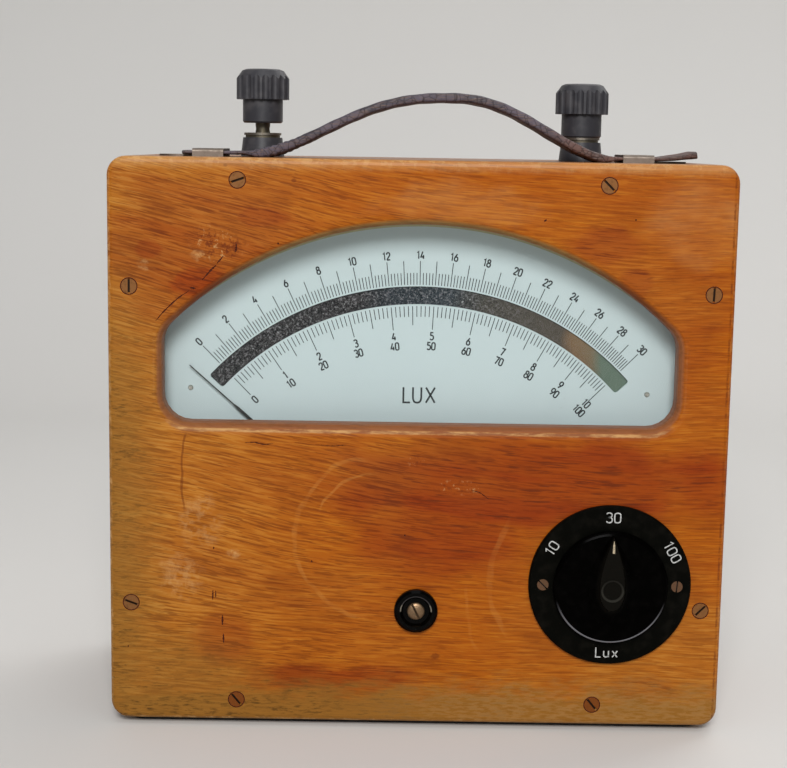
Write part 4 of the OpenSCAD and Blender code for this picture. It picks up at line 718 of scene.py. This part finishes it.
def trails(f, s):
    """Faint curved scratches as parts of rings, a wandering stain and small smudges."""
    x, _, z = f.axes()
    wobble = f.waver(0.006, 70.0, 2.0)

    def ring(cx, cz, radius, half, *parts):
        off = f.math("ABSOLUTE", f.plus(f.minus(f.away(cx, cz), radius), wobble))
        return f.times(f.level(off, half, half * 0.4), *parts)

    arcs = f.most(
        ring(-0.0130, 0.0640, 0.0270, 0.0009, f.level(x, -0.015, -0.020), 0.7),
        ring(-0.0120, 0.0640, 0.0222, 0.0006, f.level(x, -0.012, -0.016),
             f.level(z, 0.072, 0.076), 0.8),
        ring(KNOB[0], KNOB[2], 0.0380, 0.0012, f.level(x, 0.031, 0.028), 0.5),
        ring(KNOB[0], KNOB[2], 0.0475, 0.0008, f.level(x, 0.022, 0.019),
             f.level(z, 0.050, 0.045), 0.4))
    f.lay(s.rubbed, arcs, f.level(f.cloud(240.0, 2.0), 0.35, 0.6, 0.1, 0.26))
    stain = ring(0.0, 0.085, 0.0762, 0.0005, f.level(x, 0.0, -0.01),
                 f.band(z, 0.070, 0.076, 0.0965, 0.0985), 0.55)
    f.lay(s.streak, f.most(stain, f.patches(
        (6.6, 24.7, 1.8, 1.2, 1.2, 900, 0.6),
        (-40.8, 179.1, 1, 0.7, 0.6, 900, 0.6),
        (-62.4, 183.6, 0.8, 0.6, 0.6, 900, 0.6))))


def rims(f, s):
    """Worn outer edges, the pale upper edge, the bevel of the window with its pale lower
    and right rim, part wear and part painted highlight, and the dark seam along the right edge."""
    x, y, z = f.axes()
    inset = f.minus(y, FACE)
    side_x = f.math("ABSOLUTE", x)
    middle_z = f.math("ABSOLUTE", f.minus(z, PANEL_MIDDLE))
    ragged = f.waver(0.0016, 420.0, 4.0, 0.7)
    chips = f.level(f.cloud(260.0, 3.0, 0.7), 0.48, 0.60, 0.15, 0.8)
    mottle = f.cloud(300.0, 4.0, 0.65, (0.4, 1.0, 2.0))
    rim = f.most(f.level(f.plus(side_x, ragged), 0.0987, 0.0995),
                 f.level(f.plus(middle_z, ragged), 0.0907, 0.0915))
    f.lay(s.bare, rim, f.level(inset, 0.0022, 0.0012), f.level(x, 0.06, -0.06, 0.25, 0.7), chips)
    f.lay(s.bare, f.level(f.plus(z, f.times(ragged, 1.5)), TOP - 0.0045, TOP - 0.0008),
          f.level(chips, 0.15, 0.8, 0.36, 0.52))
    opening = f.times(f.level(side_x, 0.0965, 0.095), f.level(middle_z, 0.080, 0.075))
    deep = f.plus(inset, f.times(ragged, 0.08))
    wood = f.mix(f.level(z, 0.130, 0.142), s.sill, s.arc)
    wood = f.mix(f.times(f.level(side_x, 0.068, 0.046), f.level(z, 0.11, 0.12)), wood, s.bevel)
    wood = f.mix(f.level(mottle, 0.45, 0.7, 0.0, 0.5), wood, [c * 0.45 for c in s.sill])
    f.lay(wood, opening, f.level(deep, 0.0003, 0.0010), 0.85)
    # Painted highlight over wear: a pale line along the lower and side edges of the opening, where
    # the rounded edge catches the light.
    worn = f.most(f.level(z, 0.1030, 0.1000),
                  f.times(f.level(side_x, 0.084, 0.088), 0.5, f.level(z, 0.145, 0.130)))
    f.lay(f.mix(f.level(mottle, 0.38, 0.62), s.sill, s.bare), opening,
          f.band(deep, 0.00012, 0.00025, 0.0005, 0.0008), worn, 0.8)
    f.lay(s.crack, f.band(x, 0.0980, 0.0983, 0.0986, 0.0990), chips, 0.7)


def tarnished_brass():
    """Tarnished brass head, redder low on the panel, darker at the bottom of its slot."""
    f = metal("screw_metal", (0.215, 0.090, 0.028), 0.45, (0.08, 0.035, 0.010), 0.5, 800.0,
              metallic=0.4)
    f.set(Specular_IOR_Level=0.15)
    _, y, z = f.axes()
    f.lay((0.18, 0.044, 0.004), f.level(z, 0.035, 0.012, 0.0, 0.8))
    f.lay((0.02, 0.010, 0.005), f.level(f.math("ABSOLUTE", y), -FACE - 0.0001, -FACE - 0.0004))
    return f


def panel_marks(s):
    """Cracks and nicks as thin ribbons that taper to both ends, and dark rings round the screws,
    part dirt and part painted shadow.
    """
    def stroke(width, *points):
        path = smooth_path(np.array(points) * MM, steps=8)
        t = np.linspace(0.0, 1.0, len(path))
        waver = 1.0 + 0.35 * np.sin(31.0 * t + points[0][0])
        return ribbon(path, width * MM * (0.3 + 0.7 * np.sin(np.pi * t)) * waver)

    around = np.linspace(0.0, 2.0 * np.pi, 49)
    dark = [stroke(*row) for row in CRACKS]
    # Dark rings round the screw heads: part dirt, part painted shadow of the countersinks.
    dark += [ribbon((np.array(place) + polar(DIRT_AND_SHADOW_RADIUS, around)) * MM, DIRT_AND_SHADOW_WIDTH * MM)
             for place in SCREWS]
    f = Finish("panel_cracks", Roughness=0.6, Alpha=0.75, Specular_IOR_Level=0.1)
    f.set(Base_Color=f.vary(f.cloud(400.0), s.crack, 1.0, 0.5))
    print_on("front_panel", "panel_cracks", dark, np.zeros(3), "case", f)


def board_wood(name, s, direction):
    """Board: long grain lines along one axis, pores in them and a grimy film."""
    f = Finish(name, Coat_Weight=0.2, Coat_Roughness=0.3)
    stretch = {"x": (14.0, 260.0, 260.0), "z": (260.0, 260.0, 14.0)}[direction]
    lines = f.noise(f.place(stretch), 1.0, 4.0, 0.6, 0.3)
    pores = f.cloud(1.0, 2.0, 0.6, [c * 4.0 for c in stretch])
    clouds = f.cloud(22.0, 4.0, 0.6)
    f.set(Base_Color=f.vary(f.level(lines, 0.3, 0.7), s.side, 0.62, 1.25),
          Roughness=f.level(clouds, 0.3, 0.7, 0.38, 0.6))
    f.lay(s.streak, f.level(pores, 0.58, 0.7, 0.0, 0.6))
    f.lay(s.grey, f.level(clouds, 0.45, 0.75, 0.0, 0.55))
    f.bump(f.plus(lines, pores), 0.08 * MM, 0.5)
    return f


class LUXMETER_OT_case(Operator):
    """Veneered front panel with its marks, boards behind it, screws and plinth plate"""
    bl_idname = "lux_meter.case"
    bl_label = "Case"

    def execute(self, context):
        s = settings().wood
        dress(veneer(s), "front_panel")
        dress(board_wood("board_wood_x", s, "x"), "case_top", "case_bottom")
        dress(board_wood("board_wood_z", s, "z"), "case_side_left", "case_side_right")
        dress(board_wood("back_wood", s, "x"), "back_panel")
        dress(tarnished_brass(), "case_screws")
        dress(metal("small_screw_metal", (0.26, 0.21, 0.15), 0.42, (0.06, 0.035, 0.015), 0.6,
                    900.0), "small_wood_screws")
        dress(moulding("plinth_fibre", (0.016, 0.016, 0.016), 0.7, dusty=0.4), "plinth")
        panel_marks(s)
        return {"FINISHED"}


# Dial

# Radii about the pointer's axis, in millimetres
TICKS_FROM, SHORT_TO, LONG_TO, NUMERALS = 94.2, 98.1, 102.0, 103.9
LOW_FROM, LOW_SHORT, LOW_FIFTH, LOW_TENTH = 87.2, 83.7, 80.9, 79.6
LOW_SINGLES, LOW_TENS, LOW_END_SINGLES, LOW_END_TENS = 77.45, 74.15, 78.5, 75.2
ARCH_LINE_RADIUS, ARCH_LINE_WIDTH, ARCH_LINE_HALF = 114.35, 0.75, 38.0
DIAL_NARROW = 0.86


def print_seal():
    """Pale line on the glass along the arch, which tapers to both ends."""
    f = Finish("window_seal", Roughness=0.5, Specular_IOR_Level=0.2)
    f.set(Base_Color=f.mix(f.cloud(350.0), (0.30, 0.30, 0.17), (0.44, 0.45, 0.28)))
    sweep = np.linspace(math.radians(-ARCH_LINE_HALF), math.radians(ARCH_LINE_HALF), 121)
    wide = ARCH_LINE_WIDTH * MM * np.cos(sweep * 90.0 / ARCH_LINE_HALF) ** 0.4
    line = ribbon(polar(ARCH_LINE_RADIUS * MM - wide / 2.0, sweep), wide)
    print_on("window_glass", "window_seal", [line], PIVOT, "case", f,
             1.5 * INK_LIFT)


def scale_marks(s):
    """Ticks and numerals. The angle of a reading r from 0 to 1 is start + sweep r +
    widen r squared + crowd r cubed, clockwise from straight up about the pointer's axis."""
    def angle(reading):
        return s.start + s.sweep * reading + s.widen * reading**2 + s.crowd * reading**3

    def numeral(number, radius, a):
        return word(str(number), s.numeral, s.stroke, polar(radius * MM, a), a, DIAL_NARROW)

    step = np.arange(151)
    fine = angle(step / 150.0)
    parts = ticks(fine[step % 5 > 0], TICKS_FROM, SHORT_TO, s.tick)
    parts += ticks(fine[step % 5 == 0], TICKS_FROM, LONG_TO, s.tick)
    for number in range(0, 31, 2):
        parts += numeral(number, NUMERALS, angle(number / 30.0))
    step = np.arange(101)
    low = angle(step / 100.0)
    for chosen, end in ((step % 5 > 0, LOW_SHORT), (step % 10 == 5, LOW_FIFTH),
                        (step % 10 == 0, LOW_TENTH)):
        parts += ticks(low[chosen], LOW_FROM, end, s.tick)
    for number in range(11):
        a = angle(number / 10.0)
        parts += numeral(number, LOW_END_SINGLES if number == 10 else LOW_SINGLES, a)
        if number:
            parts += numeral(number * 10, LOW_END_TENS if number == 10 else LOW_TENS, a)
    return parts + word("LUX", 5.1 * MM, 0.62 * MM, np.array([0.1, 57.75]) * MM)


def enamel(s):
    """Pale enamel with a faint cloud, a few specks of dust and a dull skin."""
    f = Finish("dial_enamel", Specular_IOR_Level=0.3)
    cloud = f.cloud(28.0)
    f.set(Base_Color=f.vary(cloud, s.paper, 0.96, 1.03),
          Roughness=f.level(cloud, 0.3, 0.7, 0.5, 0.62))
    f.lay((0.25, 0.26, 0.25), f.level(f.cells(f.place(), 260.0), 0.075, 0.03),
          f.level(f.cloud(90.0, 1.0), 0.55, 0.62), 0.5)
    f.bump(f.cloud(2500.0, 2.0), 0.01 * MM, 0.3)
    return f


def aged_mirror():
    """Mirror band whose colour is a painted reflection of the room: brownish black at the
    left, bluish in the middle, brown and then green at the right end, by the distance across,
    with pits and bright specks of age and a painted shadow along its upper edge."""
    f = Finish("aged_mirror", Metallic=0.8, Specular_IOR_Level=0.2)
    wander = f.plus(f.axes()[0], f.waver(0.012, 60.0, 2.0))
    grains = f.cloud(1700.0, 3.0, 0.75)
    worn = f.level(wander, 0.050, 0.005, 0.18, 1.0)
    along = f.times(f.plus(wander, 0.075), 1.0 / 0.15)
    black = (0.006, 0.006, 0.007)
    # Painted reflection: the colours along the band stand for the room that the mirror reflects.
    f.set(Base_Color=f.ramp(along, (0.0, (0.030, 0.026, 0.028)), (0.36, (0.034, 0.028, 0.030)),
                            (0.44, (0.034, 0.042, 0.054)), (0.57, (0.042, 0.054, 0.066)),
                            (0.64, (0.085, 0.076, 0.064)), (0.82, (0.100, 0.082, 0.064)),
                            (0.845, (0.24, 0.15, 0.08)), (0.875, (0.22, 0.17, 0.10)),
                            (0.90, (0.15, 0.21, 0.16)), (1.0, (0.15, 0.22, 0.17))),
          Roughness=f.level(grains, 0.35, 0.7, 0.28, 0.5))
    f.lay(black, f.level(grains, 0.49, 0.36), worn, 0.9)
    f.lay((0.26, 0.25, 0.26), f.level(grains, 0.52, 0.63), worn, 0.8)
    f.lay((0.42, 0.42, 0.42), f.level(f.cells(f.place(), 420.0), 0.17, 0.08),
          f.level(f.cloud(160.0, 1.0), 0.50, 0.58), worn, 0.8)
    # Painted shadow: a dark line along the upper edge of the band, where the edge of the slot in
    # the scale plate shades it.
    f.lay(black, f.level(f.away(PIVOT[0], PIVOT[2]), 0.0932, 0.0936), 0.8)
    return f


def clear_glass():
    """Clear pane, faintly tinted, that keeps some of its gloss."""
    f = Finish("window_glass", Base_Color=(0.10, 0.14, 0.13), Roughness=0.03,
               Alpha=0.05, Specular_IOR_Level=1.0)
    f.material.surface_render_method = "BLENDED"
    return f


class LUXMETER_OT_dial(Operator):
    """Scale plate with its print, mirror band, pointer and window glass"""
    bl_idname = "lux_meter.dial"
    bl_label = "Dial"

    def execute(self, context):
        s = settings().dial
        dress(enamel(s), "scale_plate")
        dress(aged_mirror(), "scale_mirror")
        dress(clear_glass(), "window_glass")
        ink = Finish("dial_ink", Roughness=0.55)
        ink.set(Base_Color=ink.vary(ink.cloud(900.0, 2.0), s.ink, 1.0, 2.0))
        print_on("scale_plate", "scale_print", scale_marks(s), PIVOT, "case", ink)
        print_seal()
        dress(moulding("pointer_lacquer", (0.012, 0.012, 0.012), 0.4, dusty=0.1, scale=500.0),
              "pointer")
        dress(metal("scale_screw_metal", (0.52, 0.50, 0.44), 0.3, stained=0.5, scale=2500.0),
              "scale_screws")
        return {"FINISHED"}


# Controls

RING_WIDE = 1.15
# Numbers on the ring: text, degrees from straight up, radius in millimetres
RING_NUMBERS = (("30", 1.0, 22.6), ("10", -57.8, 22.7), ("100", 59.7, 23.0))


def rubbed_rim(f):
    """Painted highlights: grey lines along the lower part of the skirt's rim and round the
    cap, for the light they reflect, by the distance from the knob's axis."""
    x, _, z = KNOB
    away, height = f.away(x, z), f.axes()[2]
    f.lay((0.24, 0.24, 0.26), f.band(away, 0.01765, 0.01790, 0.01815, 0.01845),
          f.level(height, z - 0.004, z - 0.014), 0.8)
    f.lay((0.036, 0.034, 0.028), f.band(away, 0.0028, 0.0031, 0.0036, 0.0038),
          f.level(height, z + 0.004, z - 0.002, 0.2, 0.6))


def polished_arc(f):
    """Painted highlight: a grey arc on the bezel above the zero screw, brighter at both
    ends, by the distance from the screw's axis."""
    x, _, z = ZERO
    away, height = f.away(x, z), f.axes()[2]
    ends = f.level(height, z + 0.0026, z + 0.0018)
    f.lay(f.mix(ends, (0.060, 0.055, 0.056), (0.27, 0.24, 0.19)),
          f.band(away, 0.0047, 0.0049, 0.0051, 0.0053),
          f.level(height, z - 0.0002, z + 0.0004), 0.85)


def lettering(s):
    """White numbers on the ring, turned with their place, and the line in the knob."""
    parts = word("Lux", s.height, s.stroke, np.array([-0.2, -22.4]) * MM, 0.0, RING_WIDE, RING_WIDE)
    for text, degrees, radius in RING_NUMBERS:
        a = math.radians(degrees)
        parts += word(text, s.height, s.stroke, polar(radius * MM, a), a, RING_WIDE)
    print_on("range_dial", "ring_numbers", parts, KNOB, "case",
             worn_paint("ring_lettering", s.white))
    line = [ribbon(np.array([[0.0, 16.4], [0.0, 15.0], [0.0, 12.4]]) * MM,
                   np.array([0.1, 0.6, 0.75]) * MM)]
    print_on("range_knob", "index_line", line, KNOB, "range_switch",
             worn_paint("index_paint", s.cream))


def worn_paint(name, tint):
    """Worn paint in engraved lines."""
    f = Finish(name, Roughness=0.5)
    f.set(Base_Color=f.vary(f.level(f.cloud(1600.0), 0.35, 0.6), tint, 0.62, 1.0))
    return f


class LUXMETER_OT_controls(Operator):
    """Range dial with its numbers, pointer knob and zero corrector"""
    bl_idname = "lux_meter.controls"
    bl_label = "Controls"

    def execute(self, context):
        s = settings().controls
        dress(moulding("ring_black", s.ring, 0.42, (0.014, 0.012, 0.009), 0.25, scale=260.0,
                       gloss=0.02), "range_dial")
        knob = moulding("knob_gloss", s.knob, 0.10, (0.02, 0.017, 0.016), 0.05, 0.008, 300.0,
                        gloss=0.006)
        tip = front("range_knob")
        # Painted sheen: the front-most face of the knob is lightened, where it catches the light.
        knob.lay((0.010, 0.009, 0.007),
                 knob.level(knob.axes()[1], tip + 0.0025, tip + 0.0005, 0.0, 0.5))
        rubbed_rim(knob)
        dress(knob, "range_knob", "knob_cap")
        bezel = moulding("bezel_black", s.knob, 0.12, (0.02, 0.017, 0.016), 0.1, 0.05, 400.0,
                         gloss=0.03)
        polished_arc(bezel)
        dress(bezel, "zero_bezel")
        copper = metal("copper_screw", (0.13, 0.065, 0.032), 0.4, (0.10, 0.045, 0.03), 0.5,
                       1500.0, metallic=0.7)
        copper.slot(front("range_dial_screws") + 0.2 * MM, 0.2 * MM)
        dress(copper, "range_dial_screws")
        zero = metal("zero_screw_metal", (0.24, 0.155, 0.090), 0.33, (0.10, 0.07, 0.04), 0.45,
                     1200.0)
        zero.slot(front("zero_screw") + 1.1 * MM)
        dress(zero, "zero_screw")
        lettering(s)
        return {"FINISHED"}


# Terminals

class LUXMETER_OT_terminals(Operator):
    """Screw terminals: fluted caps, bases, studs, washers and nuts"""
    bl_idname = "lux_meter.terminals"
    bl_label = "Terminals"

    def execute(self, context):
        s = settings().controls
        dress(moulding("cap_bakelite", s.cap, 0.36, (0.12, 0.11, 0.11), 0.30, 0.0, 240.0, 0.35),
              "terminal_cap_left", "terminal_cap_right", "terminal_bases")
        dress(metal("terminal_brass", (0.15, 0.13, 0.095), 0.38, (0.10, 0.08, 0.04), 0.45, 700.0),
              "terminal_studs", "terminal_nuts", "cap_insert_left", "cap_insert_right",
              "panel_nuts")
        dress(metal("washer_nickel", (0.22, 0.195, 0.16), 0.36, (0.16, 0.12, 0.07), 0.4, 700.0),
              "terminal_washers")
        return {"FINISHED"}


# Strap

# Route of the strap in millimetres: X of the bow's feet and highest point, heights over the case
BOW_LEFT, BOW_RIGHT, BOW_PEAK, BOW_HIGH, BOW_LOW = -59.0, 64.5, 9.0, 21.5, 1.9
POWER_LEFT, POWER_RIGHT = 1.24, 1.13
THIN, THICKER, THICK_REACH = 1.2, 1.85, 8.0
STRAP_START, STRAP_END, TAIL_START, TAIL_REACH, TAIL_LIFT = -77.9, 88.5, 75.5, 13.0, 2.1
STRAP_BEHIND = 24.0
WORN_AT, WORN_REACH = -50.0, 9.0


def strap_route(x):
    """Top height and thickness over the case at X: level in the brackets, two half
    cosine waves of a power of the distance that meet at the highest point, and a tail
    that lifts."""
    left = x < BOW_PEAK
    reach = np.where(left, BOW_PEAK - BOW_LEFT, BOW_RIGHT - BOW_PEAK)
    t = np.clip(np.abs(x - BOW_PEAK) / reach, 0.0, 1.0) ** np.where(left, POWER_LEFT, POWER_RIGHT)
    height = BOW_LOW + (BOW_HIGH - BOW_LOW) * (1.0 + np.cos(np.pi * t)) / 2.0
    near = np.clip(np.minimum(x - BOW_LEFT, BOW_RIGHT - x) / THICK_REACH, 0.0, 1.0)
    thick = THIN + THICKER * near * near * (3.0 - 2.0 * near)
    tail = np.clip((x - TAIL_START) / TAIL_REACH, 0.0, 1.0)
    return height + TAIL_LIFT * tail**1.3, thick + 1.1 * tail


def strap_surface(width):
    """A rounded flat section carried along the route. Its edge waves by a sum of sines,
    so it looks frayed, and both ends close on a smaller section."""
    x = np.concatenate([[STRAP_START], np.linspace(STRAP_START + 0.1, STRAP_END - 0.1, 420),
                        [STRAP_END]])
    height, thick = strap_route(x)
    middle = height - thick / 2.0
    slope = np.gradient(middle, x)
    length = np.sqrt(1.0 + slope**2)
    normal = np.stack([-slope / length, 1.0 / length], 1)
    v = np.linspace(0.0, 2.0 * np.pi, 49)[:-1]
    across = np.sign(np.cos(v)) * np.abs(np.cos(v)) ** 0.25
    up = np.sign(np.sin(v)) * np.abs(np.sin(v)) ** 0.55
    close = np.ones(len(x))
    close[[0, -1]] = 0.5
    fray = 0.16 * np.sin(1.9 * x) * np.sin(0.37 * x + 1.0) + 0.1 * np.sin(5.3 * x)
    worn = np.exp(-((x - WORN_AT) / WORN_REACH) ** 2)
    half = (width / MM / 2.0 - 0.25 + fray * (0.6 + 1.6 * worn)) * close
    bulge = 1.0 + 0.04 * np.sin(0.8 * x) + worn * (0.15 + 0.12 * np.sin(3.1 * x))
    lift = up[None, :] * (thick * close * bulge / 2.0)[:, None]
    edge_curl = 0.25 * worn[:, None] * np.abs(across)[None, :] ** 6
    px = x[:, None] + normal[:, :1] * lift
    pz = middle[:, None] + normal[:, 1:] * (lift + edge_curl)
    py = np.broadcast_to(across[None, :] * half[:, None], px.shape)
    points = np.stack([px, py + FACE / MM + STRAP_BEHIND, pz + TOP / MM], -1)
    n = len(v)
    faces = [f[::-1] for f in grid_faces(len(x), n, closed=True)]
    faces.append(np.arange(n))
    faces.append(np.arange(n)[::-1] + (len(x) - 1) * n)
    return points.reshape(-1, 3) * MM, faces


def worn_leather(s):
    """Worn hide: cracked cells stretched across, clouds, and a paler layered edge."""
    f = Finish("strap_leather", Specular_IOR_Level=0.35)
    x, y, _ = f.axes()
    cracks = f.cells(f.place((1.0, 0.35, 1.0)), 420.0, "DISTANCE_TO_EDGE")
    fibres = f.cloud(900.0, 4.0, 0.7, (0.25, 1.0, 3.0))
    cloud = f.cloud(130.0, 4.0, 0.6)
    tint = f.mix(f.level(x, 0.036, 0.052), s.hide, s.tail)
    clouded = f.ramp(f.level(cloud, 0.35, 0.7), (0.0, 0.6), (1.0, 1.7))
    f.set(Base_Color=f.mix(1.0, tint, clouded, "MULTIPLY"),
          Roughness=f.level(cloud, 0.3, 0.7, 0.42, 0.7))
    across = f.math("ABSOLUTE", f.minus(y, FACE + STRAP_BEHIND * MM))
    f.lay(s.edge, f.level(across, 0.0090, 0.0096), f.level(fibres, 0.45, 0.65), 0.8)
    f.lay((0.008, 0.006, 0.006), f.level(cracks, 0.05, 0.0, 0.0, 0.7))
    f.bump(f.plus(f.level(cracks, 0.0, 0.08), f.times(fibres, 0.8)), 0.18 * MM, 0.6)
    return f


class LUXMETER_OT_strap(Operator):
    """Leather carrying strap, thinned in its brackets, with a frayed edge, and the brackets"""
    bl_idname = "lux_meter.strap"
    bl_label = "Carrying strap"

    def execute(self, context):
        s = settings().strap
        dress(metal("bracket_tin", (0.215, 0.175, 0.145), 0.45, (0.20, 0.17, 0.13), 0.5, 420.0),
              "strap_brackets")
        points, faces = strap_surface(s.width)
        strap = make_piece("leather_strap", points, faces, worn_leather(s), "case",
                           smooth=True)
        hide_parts("carrying_strap")
        return {"FINISHED"}


# Inside

def enamelled_wire():
    """Enamelled wire: fine bands along the depth give the turns."""
    f = Finish("enamelled_wire", Metallic=0.7, Roughness=0.35)
    turns = f.node("TexWave", {"Vector": f.place(), "Scale": 900.0}, bands_direction="Y").outputs[1]
    f.set(Base_Color=f.mix(turns, (0.16, 0.05, 0.02), (0.42, 0.17, 0.08)))
    f.bump(turns, 0.05 * MM, 0.8)
    return f


class LUXMETER_OT_inside(Operator):
    """Movement, range switch and the other pieces inside the case"""
    bl_idname = "lux_meter.inside"
    bl_label = "Inside"

    def execute(self, context):
        dress(metal("cast_aluminium", (0.60, 0.60, 0.62), 0.4, stained=0.1, scale=400.0),
              "scale_carrier", "movement_frame", "coil_former", "front_bridge", "rear_bridge")
        dress(metal("bright_steel", (0.55, 0.55, 0.56), 0.28, stained=0.12, scale=500.0),
              "glass_clips", "movement_screws", "pole_shoes", "core", "bridge_screws",
              "pivot_staffs", "pointer_stops", "switch_shaft", "detent_disc", "detent_spring")
        dress(metal("turned_brass", (0.62, 0.46, 0.20), 0.3, stained=0.15, scale=500.0),
              "movement_posts", "core_brackets", "jewel_screws", "balance_arms",
              "zero_adjust_arm", "switch_bush", "switch_contacts")
        dress(metal("spring_bronze", (0.42, 0.26, 0.12), 0.35, stained=0.1, scale=900.0),
              "hairsprings", "switch_wiper")
        dress(enamelled_wire(), "coil_winding")
        dress(metal("magnet_paint", (0.05, 0.05, 0.055), 0.55, stained=0.1, metallic=0.3), "magnet")
        dress(moulding("pressed_paper", (0.20, 0.09, 0.035), 0.4, (0.28, 0.15, 0.08), 0.4),
              "switch_base", "switch_wafer", "range_resistors")
        return {"FINISHED"}


class LUXMETER_PT_panel(Panel):
    """Lists the operators and the settings in the sidebar"""
    bl_idname = "LUXMETER_PT_panel"
    bl_label = "Lux meter"
    bl_space_type = "VIEW_3D"
    bl_region_type = "UI"
    bl_category = "Lux meter"

    def draw(self, context):
        layout = self.layout
        for operator in OPERATORS:
            layout.operator(operator.bl_idname)
        for key, group in GROUPS.items():
            box = layout.box()
            box.label(text=group.__doc__)
            for name in group.__annotations__:
                box.prop(getattr(context.scene.lux_meter, key), name)


OPERATORS = (LUXMETER_OT_stage, LUXMETER_OT_case, LUXMETER_OT_dial, LUXMETER_OT_controls,
             LUXMETER_OT_terminals, LUXMETER_OT_strap, LUXMETER_OT_inside)
CLASSES = (*GROUPS.values(), LuxMeterSettings, *OPERATORS, LUXMETER_PT_panel)


def register():
    """Registers the classes and hangs the settings on the scene."""
    for cls in CLASSES:
        bpy.utils.register_class(cls)
    bpy.types.Scene.lux_meter = PointerProperty(type=LuxMeterSettings)


def unregister():
    """Takes the classes and the settings away again."""
    del bpy.types.Scene.lux_meter
    for cls in reversed(CLASSES):
        bpy.utils.unregister_class(cls)


def main():
    """Makes the stage and every piece in order."""
    register()
    for operator in OPERATORS:
        section, name = operator.bl_idname.split(".")
        getattr(getattr(bpy.ops, section), name)()


if __name__ == "__main__":
    main()
